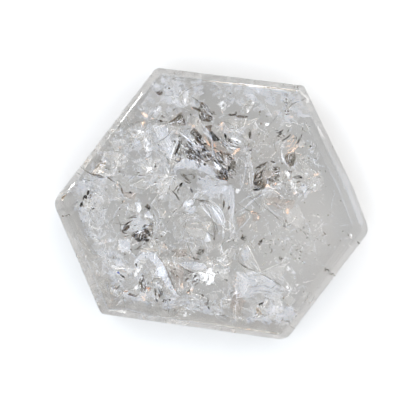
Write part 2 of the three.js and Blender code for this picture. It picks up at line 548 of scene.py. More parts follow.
# Broad smooth cracks that mirror the soft light. askew turns each off the slope that would
# mirror the light's middle, which dims it.
VEILS = [
    # the pane and the crescent over the middle
    dict(outline=[(-3.1, 6.4), (-0.6, 7.0), (0.9, 6.6), (4.0, 5.0), (3.3, 3.3), (0.7, 0.8),
                  (-3.0, 0.8), (-4.6, 3.4)],
         z=8, askew=(0.015, 0.015), dome=0.03, crush=0.03, grain=1.6, rim=0, fray=0.5),
    # the feathered strip right of the middle
    dict(outline=[(2.7, 3.4), (3.6, 4.7), (5.0, 4.6), (5.4, 3.0), (5.6, 0.0), (5.0, -4.0),
                  (4.2, -1.6), (2.8, 0.6)],
         z=8, askew=(0, 0), ripple=0.010, wave=1.1, swirl=(-6, 2), rim=0, fray=0.3),
    dict(outline=[(4.4, -0.6), (5.6, -2.0), (6.0, -6.0), (5.2, -9.0), (4.2, -6.0)],
         z=6, askew=(0.03, 0.02), ripple=0.03, wave=1.1, swirl=(-10, -6), crush=0.1, grain=1.4, rim=0,
         fray=0.4),
    # petals
    dict(outline=[(-2.8, 0), (-0.4, -0.5), (1.7, -2.4), (2.9, -5.4), (1.4, -4.9), (-0.7, -2.7)],
         z=9, askew=(0.02, 0.0), ripple=0.014, wave=0.9, swirl=(-8, -6)),
    dict(outline=[(-0.4, 0.2), (2.0, -1.0), (3.6, -4.4), (2.8, -5.0), (1.2, -2.0)],
         z=11, askew=(0.04, 0.0), ripple=0.01, wave=0.8, swirl=(-8, -6)),
    # the feathered veils at the lower right
    dict(outline=[(6.4, -16.9), (12, -16.9), (14.3, -18.5), (17.6, -20.2), (17.6, -22.8),
                  (16.6, -24), (13.4, -23), (11.6, -22.3), (8.8, -23.6), (6.4, -22.8), (5.8, -20.4)],
         z=8, askew=(0, 0), dome=0.036, ripple=0.010, wave=1.3, swirl=(12, -30), crush=0.05, grain=2,
         rim=0),
    dict(outline=[(12.6, -17.0), (15.0, -16.4), (18.2, -18.2), (17.8, -20), (14.3, -18.4)],
         z=6, askew=(0.02, 0), dome=0.018, ripple=0.02, wave=0.9, rim=0, fray=0.3),
    dict(outline=[(5.2, -17.6), (7.6, -16.9), (9.6, -17.6), (9.2, -19.8), (7.4, -21.6), (5.4, -20.2)],
         z=10, askew=(0.01, 0), ripple=0.05, wave=0.8, swirl=(2.5, -25.5), rim=0, fray=0.4),
    dict(outline=[(8.8, -24.0), (12.2, -22.8), (17.0, -23.6), (18.4, -26.4), (16.6, -29.6),
                  (12, -27.6)],
         z=9, askew=(0.03, 0.03), dome=0.09, ripple=0.012, wave=1.3, crush=0.10, grain=1.6, rim=0,
         fray=0.5),
    # the pale left half
    dict(outline=[(-14.5, 19.4), (-11, 19.2), (-9.4, 14), (-10, 10.6), (-12, 14)],
         z=8, askew=(0.03, 0.02), dome=0.024),
    dict(outline=[(-31.6, -1.2), (-28.2, -0.4), (-26.2, -1.4), (-26.4, -4), (-28, -6.8),
                  (-30.4, -6.6), (-31.6, -4)],
         z=8, askew=(0.01, 0.0), ripple=0.01, wave=0.9, swirl=(-38, 2), crush=0.05, grain=0.7,
         fray=0.4, rim=0),
    dict(outline=[(-31.2, 1.4), (-28, 2.2), (-26.4, 0.6), (-27.6, -1.0), (-31.2, -1.2)],
         z=11, askew=(0.06, 0.04), dome=0.018),
    # the arch at the lower left
    dict(outline=[(-14, -16.2), (-12, -15.6), (-11.4, -17.6), (-13.6, -18.2)],
         z=12, askew=(0, 0), dome=0.012),
    dict(outline=[(-24.6, -16.1), (-24.2, -15.1), (-23.0, -14.8), (-21.8, -15.1), (-20.1, -15.4),
                  (-19.8, -16.2), (-20.9, -16.5), (-22.5, -15.9), (-23.6, -16.3)],
         z=14, askew=(0.02, 0.01), crush=0.08, grain=0.7, fray=0.5, rim=0),
    dict(outline=[(-13.8, -16.9), (-12.7, -15.8), (-11.7, -16.6), (-11.3, -17.9), (-12.8, -18.2)],
         z=12, askew=(0.02, 0.0)),
    dict(outline=[(-23, -9), (-20.4, -8.8), (-20, -11.8), (-22.3, -12)],
         z=10, askew=(0.03, 0.0), dome=0.009),
    dict(outline=[(-8.4, -14.9), (-5.2, -14.4), (-2, -14.9), (-0.9, -16), (-4.7, -16.4), (-6.8, -15.7)],
         z=11, askew=(0.01, 0), dome=0.009, crush=0.02),
    dict(outline=[(-2, -14.8), (2.3, -13.3), (4.7, -14.6), (4.4, -17.2), (1.7, -17.1), (-0.9, -16)],
         z=10, askew=(0.0, 0.0), crush=0.12, grain=0.8, cells=24),
    dict(outline=[(8.7, 12.8), (9.7, 13.0), (10.2, 9), (10.4, 5.4), (9.8, 4.8), (9.2, 9)],
         z=10, askew=(0.02, 0.0), ripple=0.02, wave=0.7, swirl=(0, 9)),
    dict(outline=[(22.3, 5), (23.4, 4.8), (24.0, 3.0), (23.4, 1.4), (22.6, 3.0)],
         z=9, askew=(0.03, 0.02), rim=0, fray=0.5),
    dict(outline=[(-8, 28), (-5.9, 27.8), (-5.6, 25.2), (-6.6, 25.0), (-7.2, 26.8)],
         z=11, askew=(0.04, 0.0), crush=0.04, grain=0.7),
]

# Wide faint sheets without a clear edge, in the same way.
HAZES = [
    # the pale left half
    dict(outline=[(-22, 18.4), (-15.4, 20), (-9, 19.2), (-8.6, 15.5), (-9.8, 11), (-15, 12),
                  (-22.5, 14)],
         z=5, askew=(0.02, 0.02), ripple=0.012, wave=2.2, crush=0.12, grain=2.2),
    dict(outline=[(-19, 10.4), (-14.5, 11.4), (-10, 10.4), (-10, 6), (-13, 3), (-18, 7)],
         z=7, askew=(0.03, 0.02), crush=0.10, grain=1.6),
    dict(outline=[(-28, 12), (-22, 17.6), (-20, 11), (-24, 7.4)],
         z=7, askew=(0.03, 0.02), crush=0.12, grain=1.6),
    dict(outline=[(-31, 8), (-24, 10), (-19, 7), (-18, 2), (-26, 0), (-31, 2)],
         z=8, askew=(0.03, 0.02), crush=0.13, grain=1.4),
    dict(outline=[(-24, -13), (-12, -14), (-9, -20), (-14, -24), (-24, -23)],
         z=7, askew=(0.03, 0.02), crush=0.14, grain=1.6),
    dict(outline=[(-40, 0), (-31, 12), (-26, 9), (-26, 1), (-31, -5)],
         z=6, askew=(0.02, 0.02), crush=0.14, grain=2.4),
    dict(outline=[(-38, -5), (-26, -7), (-22, -13), (-23, -22), (-30, -26)],
         z=5, askew=(0.03, 0.02), crush=0.14, grain=2.4),
    dict(outline=[(-18, 22), (-15, 33), (-8, 31), (-7, 23), (-12, 20)],
         z=6, askew=(0.03, 0.02), crush=0.12, grain=2.4),
    # under the upper side
    dict(outline=[(-14, 32), (-4, 31), (-1, 26), (-6, 23.6), (-13, 25)],
         z=6, askew=(0.02, 0.02), crush=0.10, grain=2.2),
    dict(outline=[(0, 32), (12, 30), (11, 24.6), (4, 25), (0, 27)],
         z=5, askew=(0.02, 0.02), crush=0.10, grain=2.4),
    dict(outline=[(10, 30.4), (24, 30), (25, 22), (19, 19), (11, 23)],
         z=6, askew=(0.02, 0.02), crush=0.11, grain=2.4),
    # beside the dark heart
    dict(outline=[(-8.6, 19.4), (-2, 21), (8, 19), (9, 12), (4, 9), (-6, 9), (-9, 13)],
         z=4, askew=(0.02, 0.02), crush=0.14, grain=2),
    # left of the pane in the middle
    dict(outline=[(-12, 6), (-5, 6.5), (-3.5, 4), (-4, 0.5), (-9, -1.5), (-13, 1)],
         z=7, askew=(0.02, 0.02), crush=0.1, grain=1.2),
    # the clear ball at the middle
    dict(outline=[(-9.3, -4.6), (-7.5, -3.0), (-4.8, -2.4), (-2, -3.4), (-0.4, -5.6), (0, -8.4),
                  (-1.4, -10.8), (-4, -12), (-6.8, -11.6), (-9, -10), (-9.8, -7.4)],
         z=5, askew=(0.035, 0.025), crush=0.16, grain=1.4, fray=0.3),
    # the oval's pale upper half
    dict(outline=[(-22.0, -5.8), (-20.6, -4.3), (-18.6, -3.2), (-16.4, -3.4), (-15.4, -5.0),
                  (-16.6, -6.6), (-18.6, -7.4), (-20.8, -7.2)],
         z=13, askew=(0.01, 0.0), ripple=0.008, wave=0.7, swirl=(-10, -22)),
    # the lower side
    dict(outline=[(-24, -21), (-14, -23), (-8, -23), (0, -24), (4, -30), (-10, -31), (-24, -28)],
         z=4, askew=(0.02, 0.02), crush=0.11, grain=2.4),
    dict(outline=[(8, -26), (18, -25), (24, -27), (19, -33), (8, -31)],
         z=5, askew=(0.02, 0.02), crush=0.12, grain=3),
]

# Cracks that darken what lies under them a little.
SMOKY = [
    dict(outline=[(6.2, -3.4), (8.6, -2.4), (8.5, -3.9), (7.9, -5.2), (6.8, -5.9), (6.3, -4.8)], z=10),
    dict(outline=[(6.4, -3.6), (8.3, -2.9), (8.2, -4.2), (6.9, -5.4)], z=11),
    dict(outline=[(13.5, 1.2), (16, 1.6), (20.4, 1), (20.6, -1.2), (17, -1.4), (15, -0.4)], z=9),
    dict(outline=[(-10.6, -15), (-7.4, -14.8), (-6.6, -17), (-7.2, -19.6), (-8.2, -21.8),
                  (-9.4, -19.4)],
         z=8),
    dict(outline=[(10.0, -2.2), (11.4, -2.0), (12.4, -3.2), (11.6, -4.4), (10.2, -4.2)], z=8),
    dict(outline=[(-9.6, -11.2), (-6.2, -11.4), (-6, -13), (-8.6, -13.4)], z=8),
    dict(outline=[(-21.8, 3), (-18.6, 2.6), (-19, 1.0), (-21.6, 1.4)], z=8),
    dict(outline=[(-10.6, 19.8), (-8.8, 22.2), (-7.3, 22.7), (-6.4, 19.7), (-8.8, 19.1)], z=10),
    dict(outline=[(18.3, 12), (20.4, 12.6), (21, 11.4), (20.2, 9.2), (19.4, 8.9), (18.6, 10.2)], z=9),
    dict(outline=[(-6, 13), (-3, 17), (1, 16), (5, 12), (4.4, 7), (1, 8), (-4, 10.6)], z=6),
    dict(outline=[(10.6, 7.6), (12.6, 8.6), (16.4, 8.4), (16.6, 5.6), (12.6, 3.6), (10.6, 4.4)], z=6),
    dict(outline=[(-19.8, -7.6), (-16.6, -6.6), (-14.8, -4.6), (-14.6, -6.6), (-16.6, -9.2),
                  (-19.0, -8.4)],
         z=6),
    dict(outline=[(5.8, -20.8), (8.8, -24), (6.6, -28), (4.8, -26)], z=7),
]

# Broad curved bands that mirror the key light: the width, the depth, the path.
BANDS = [
    # the arch at the lower left
    (1.9, 14, [(-18.9, -14.6), (-18.0, -13.6), (-17.0, -12.8), (-15.9, -12.6), (-14.8, -13.1),
               (-13.6, -14.2), (-12.6, -15.6), (-11.9, -17.2), (-11.1, -18.9), (-10.2, -20.6),
               (-9.2, -22.0), (-8.3, -23.0)]),
    # the crescent over the middle
    (2.6, 13, [(-9.4, 8.2), (-8.2, 9.2), (-6.4, 9.9), (-4.4, 9.9), (-2.2, 9.2), (-0.4, 8.0),
               (1.0, 6.6)]),
    # blades of the fan under it
    (0.35, 13, [(-2.6, 0.4), (-0.6, -0.4), (1.0, -1.8), (2.2, -3.6), (2.9, -5.2)]),
    (0.4, 12, [(-1.4, 1.0), (0.6, 0.2), (2.2, -1.2), (3.2, -3.2)]),
    (0.5, 13, [(-3.0, -0.6), (-1.4, -1.8), (-0.2, -3.2), (0.8, -4.6)]),
    (0.7, 12, [(0.2, -0.9), (1.0, -2.2), (1.8, -3.6), (2.2, -4.8)]),
    # the lines that run down from the pane right of the middle
    (0.35, 12, [(5.3, 4.6), (5.6, 1.6), (5.5, -1.4), (5.2, -4.0), (5.9, -6.6)]),
    (0.30, 11, [(4.7, -3.0), (4.6, -5.2), (4.8, -7.4)]),
    (0.35, 11, [(3.4, -3.4), (3.0, -6.4), (2.9, -9.0)]),
    (0.45, 12, [(2.4, -10.2), (2.5, -11.2), (2.2, -12.2)]),
]

# Small flat cracks: the light they mirror, the outline.
PLATES = [
    (WINDOW, [(-17.0, -15.8), (-17.9, -16.1), (-19.0, -16.8), (-19.3, -18.0), (-18.7, -18.2),
              (-18.0, -16.9)]),
    (WINDOW, [(-18.3, -20.1), (-19.0, -21.1), (-19.1, -21.8), (-18.4, -21.7)]),
    (KEY, [(-16.6, -2.5), (-15.5, -1.9), (-14.6, -3.0), (-14.4, -4.0), (-15.3, -3.7), (-16.3, -3.2)]),
    (KEY, [(-19.0, 0.3), (-17.9, 0.5), (-17.4, -1.2), (-17.9, -2.2), (-18.4, -1.6)]),
    (WINDOW, [(18.7, 8.1), (19.6, 7.3), (19.2, 6.2), (18.5, 7.2)]),
    (WINDOW, [(19.9, 5.4), (20.3, 5.2), (20.7, 4.2), (21.0, 3.3), (21.2, 3.6), (20.6, 5.0)]),
    (WINDOW, [(0.5, 10.5), (1.5, 9.9), (2.5, 8.9), (2.1, 8.1), (1.5, 8.7)]),
    (KEY, [(-13.2, 24.2), (-12.4, 24.0), (-12.6, 22.8), (-13.4, 23.2)]),
    (KEY, [(-7.2, -0.6), (-6.6, 0.4), (-5.0, 1.0), (-4.3, 0.5), (-4.6, -0.2), (-6.2, -1.1)]),
    (KEY, [(-6.6, -1.4), (-5.0, -0.9), (-4.0, -0.4), (-3.9, -1.8), (-4.8, -2.6), (-6.0, -2.2)]),
    (KEY, [(-1.8, -9.3), (-0.9, -6.9), (0.1, -9.5)]),
]

# Curved crack edges that catch the light: the light, the width, the depth, the path.
BRIGHT_LINES = [
    (WINDOW, 0.22, 15, [(-8.3, 16), (-9.0, 14), (-9.7, 12.3), (-10.1, 11)]),
    (WINDOW, 0.30, 15.5, [(-8.0, 17.7), (-6.7, 16.7), (-5.1, 15.9), (-4.0, 14.7), (-2.8, 13.2)]),
    (WINDOW, 0.22, 15.5, [(-5.0, 16.2), (-3.7, 15.2), (-2.6, 13.8)]),
    (KEY, 0.9, 15.5, [(-2.1, 18), (-0.5, 16.7), (-0.1, 15.9)]),
    (WINDOW, 0.25, 15.5, [(-1.7, 12.3), (-0.9, 12.7), (-0.1, 12.6)]),
    (WINDOW, 0.25, 15.5, [(-1.2, 11.2), (-0.8, 11.3), (-0.5, 11.3)]),
    (WINDOW, 0.22, 15.5, [(2.8, 12.1), (3.3, 11.3), (3.7, 10.7), (4.0, 9.0)]),
    (WINDOW, 0.22, 15.5, [(2.4, 9.9), (2.8, 9.4), (3.2, 8.9)]),
    (WINDOW, 0.25, 15.5, [(4.7, 16.3), (6.0, 15.9), (7.2, 15.5)]),
    (WINDOW, 0.25, 15.5, [(3.3, 15.5), (5.1, 14.9), (6.3, 14.3)]),
    (WINDOW, 0.45, 15, [(16.2, 4.5), (16.7, 4.9), (17.2, 5.3)]),
    (WINDOW, 0.22, 15.5, [(-2.7, 11.2), (-2.4, 10.7), (-2.1, 10.3)]),
    (WARM, 0.26, 14, [(18.2, 12.4), (19.5, 12.7), (20.8, 13.8), (21.9, 14.7)]),
    (WARM, 0.24, 14, [(19.9, 12.6), (21.0, 13.7), (21.5, 14.4)]),
    (WARM, 0.22, 14, [(18.6, 13.2), (19.8, 13.6), (20.8, 14.8), (21.2, 16.0)]),
    (WARM, 0.22, 14, [(18.4, 14.0), (19.4, 14.4), (20.2, 15.4), (20.5, 16.4)]),
    (WARM, 0.24, 14, [(18.8, 14.7), (19.2, 14.2), (19.8, 14.7)]),
    (WARM, 0.24, 14, [(19.9, 16.1), (20.1, 16.5), (20.3, 16.8)]),
    (KEY, 0.40, 13, [(-14.5, 19.3), (-12.1, 15.2), (-10.6, 12.2), (-10, 10.6)]),
    (KEY, 0.30, 13, [(-14.2, 15.6), (-12, 12.8), (-10, 10.6)]),
    (KEY, 0.28, 12, [(-20, 9.8), (-17, 11.0), (-15.4, 12.2), (-14.2, 14.4)]),
    (KEY, 0.25, 12, [(-23, 10.6), (-20.4, 12.6), (-18.4, 15.2)]),
    (WINDOW, 0.35, 15, [(-10.2, 11), (-9.4, 13.4), (-8.2, 16)]),
    (KEY, 0.55, 15, [(-8.6, 18.2), (-6.4, 16.4), (-4.2, 14.6), (-2.4, 13)]),
    (KEY, 0.40, 15, [(-7.6, 17.6), (-5.2, 15.4), (-3.2, 13)]),
    (KEY, 0.30, 15, [(-6.4, 15.4), (-4.4, 13.6), (-3.2, 12.2)]),
    (KEY, 0.65, 15.5, [(-1.8, 19.2), (-0.2, 17), (0.2, 14.6), (0.6, 12.4), (1.6, 10.2), (3.4, 8.4)]),
    (KEY, 0.50, 15, [(-3, 11.2), (-2.4, 12.4), (-1, 13), (0.2, 12.6), (0, 11.4), (-1.4, 10.8),
                     (-2.8, 10.9)]),
    (KEY, 0.35, 15, [(0.4, 10.8), (1.6, 9.0), (2.6, 8.0)]),
    (WINDOW, 0.35, 14, [(0.2, 10.4), (1.6, 9.4), (2.2, 8.2)]),
    (KEY, 0.40, 14, [(3.3, 13.2), (3.8, 11), (3.4, 8.8)]),
    (KEY, 0.30, 14, [(-9.4, 9.6), (-7.4, 10.6), (-5.4, 10.8), (-2.6, 9.8), (0.6, 7.4), (4.0, 5.0)]),
    (WINDOW, 0.28, 15, [(4.4, 16.6), (5.8, 15.8), (7.4, 15.4)]),
    (KEY, 0.26, 15, [(4.0, 17), (5.6, 16.2), (7.6, 15.9)]),
    (KEY, 0.26, 15, [(3.2, 14.8), (5, 13.9), (6.8, 13.4)]),
    (KEY, 0.40, 12, [(17.6, 14.4), (17.4, 12.7), (18.1, 10.4), (19.7, 8.5)]),
    (WINDOW, 0.45, 13, [(17.5, 12.6), (17.7, 11.2), (18.2, 10.2)]),
    (KEY, 0.40, 12, [(10.1, 9.6), (10.4, 7), (10.2, 4.4)]),
    (KEY, 0.30, 12, [(13.2, 3.4), (14.6, 4.2), (15.8, 4.1)]),
    (WINDOW, 0.40, 14, [(19.7, 6.2), (20.0, 5), (20.4, 4), (21.1, 2.6), (20.9, 4.2), (20.9, 5.7)]),
    (KEY, 0.35, 12, [(9.8, 2.6), (12, 3.2), (15, 3.3), (17.6, 2.4)]),
    (KEY, 0.55, 11, [(7.4, -2.0), (9.6, 0.2), (12, 1.9), (14.6, 2.9)]),
    (KEY, 0.30, 11, [(6.4, -0.4), (8.6, 1.4), (11, 2.4)]),
    (KEY, 0.40, 11, [(12.9, 0.2), (14.6, -1.4), (16, -2.6), (17.2, -3.1)]),
    (KEY, 0.30, 11, [(6.4, -7), (8.6, -4.6), (9.6, -3.2)]),
    (KEY, 0.30, 11, [(6.2, -2.2), (8, -1.2), (9.6, 0.4), (10.4, 1.2)]),
    (KEY, 0.30, 12, [(9.8, -14.2), (10.8, -15.2), (11.7, -16.3)]),
    (WINDOW, 0.25, 12, [(10.6, -15.2), (11.7, -16.4)]),
    (KEY, 0.26, 12, [(7.2, -13.6), (8.8, -15.2), (10, -16)]),
    (KEY, 0.45, 12, [(5.9, -20.6), (6.2, -22), (6.4, -24.2)]),
    (KEY, 0.30, 12, [(6.4, -24), (6.0, -25.6), (5.9, -27)]),
    (KEY, 0.35, 12, [(-14.5, -1.4), (-13.5, -4), (-13.7, -6.9), (-15.3, -10.1)]),
    (KEY, 0.30, 12, [(-13.4, -0.8), (-12.7, -4), (-13.0, -7)]),
    (KEY, 0.30, 13, [(-18.9, -13.4), (-17.6, -11.9), (-16.1, -11.5), (-14, -12.7), (-12.1, -14.9)]),
    (WINDOW, 0.30, 13, [(-19.9, 1.6), (-18.8, 2.8)]),
    (KEY, 0.35, 13, [(-19, 6.8), (-17.4, 6.6), (-16, 6.7)]),
    (KEY, 0.30, 12, [(-25, -6), (-26.6, -3.2), (-25.6, -1.0)]),
    (KEY, 0.26, 12, [(-24.4, -5), (-23.8, -2.4), (-22.2, -0.4)]),
    (KEY, 0.26, 12, [(-21, -0.4), (-20.4, -2), (-19.4, -3.4)]),
    (KEY, 0.30, 12, [(2.4, -10.6), (2.8, -12), (3.2, -13.4)]),
    (KEY, 0.30, 13, [(-7.2, -21.6), (-5.6, -19.8), (-4.4, -18.6)]),
    (KEY, 0.30, 13, [(-8.0, -23.0), (-5.2, -22.9), (-3.0, -24.0)]),
    (KEY, 0.26, 13, [(-9.6, -12.4), (-9.4, -14.2), (-8.2, -15.2)]),
    (KEY, 0.35, 13, [(0.6, -0.4), (2.2, -2.2), (2.9, -4.6)]),
    (KEY, 0.28, 13, [(-1.2, -0.6), (0.8, -2.6), (2.0, -5.2)]),
    (KEY, 0.30, 13, [(7.2, 3.2), (8.2, 7), (8.6, 11)]),
]

# Curved crack edges that look grey: the width, the depth, the path.
DARK_LINES = [
    (0.22, 13, [(-31.1, 8.1), (-29.4, 7.3), (-27.8, 7.1), (-26.7, 6.7)]),
    (0.18, 13, [(-29.2, 7.0), (-27.6, 6.5), (-26.2, 6.4)]),
    (0.24, 13, [(-25.6, 6.9), (-24.9, 6.0), (-23.6, 5.2)]),
    (0.24, 13, [(-23.3, 4.9), (-22.5, 4.4), (-21.9, 3.4)]),
    (0.32, 13, [(-21.3, 2.9), (-20.2, 2.7), (-19.5, 2.8)]),
    (0.22, 13, [(-18.8, 7.2), (-17.6, 7.0), (-16.4, 6.9)]),
    (0.40, 14, [(-8.7, 2.4), (-8.3, 1.4), (-7.8, 0.8)]),
    (0.25, 14, [(-7.4, 7.0), (-6.2, 6.0), (-5.0, 5.2)]),
    (0.30, 14, [(-5.0, 3.9), (-4.7, 3.2), (-4.7, 2.6)]),
    (0.30, 14, [(3.0, 0.6), (3.1, -0.6), (2.8, -1.7)]),
    (0.35, 14, [(4.2, -0.4), (4.5, -1.0), (4.3, -1.5)]),
    (0.22, 13, [(-3.4, 0.7), (-2.2, 0.5), (-0.8, 0.0)]),
    (0.28, 12, [(0.2, -5.4), (0.7, -7.2), (0.9, -9.2)]),
    (0.22, 12, [(0.8, -4.4), (1.4, -6.2), (1.4, -8.0)]),
    (0.26, 12, [(6.2, -13), (7.2, -14.8), (9.0, -16.0), (11, -16.7)]),
    (0.40, 12, [(17, -13), (16.9, -13.6), (17.5, -14.2)]),
    (0.45, 13, [(12.8, -8.7), (12.2, -9.4), (11.9, -10.4)]),
    (0.32, 10, [(12.2, -17.2), (14.2, -18.4), (17.4, -20.3)]),
    (0.20, 12, [(-12.4, -14.4), (-11.2, -16.8), (-9.9, -19.6), (-8.5, -22.6)]),
    (0.30, 14, [(-21.9, -17.8), (-21.4, -18.4)]),
    (0.25, 14, [(-18.7, -14.8), (-18.4, -15.9)]),
    (0.30, 12, [(17.6, 15.6), (18.6, 16.2), (19.7, 17.2)]),
    (0.25, 12, [(21.0, 14.7), (21.8, 15.6), (22.4, 17)]),
    (0.25, 12, [(20.6, 14.4), (21.4, 15.4), (21.9, 16.6)]),
    (0.22, 12, [(9.2, 14.9), (9.1, 14.4), (9.0, 13.8)]),
    (0.22, 13, [(-15.4, -11.8), (-17.4, -11.2), (-19.2, -11.4)]),
    (0.20, 12, [(6.4, 0.2), (9, -1.6), (12.4, -2.6)]),
    (0.20, 12, [(12.6, -0.6), (14.8, -2.2), (17.4, -4.4)]),
    (0.25, 12, [(-5.0, 26.6), (-3.2, 25.4), (-2.4, 24.6)]),
    (0.20, 12, [(-15, 21), (-12.6, 20.6), (-10.4, 19.9)]),
    (0.22, 14, [(-20.6, -3.9), (-19.4, -3.1), (-18, -2.9)]),
]

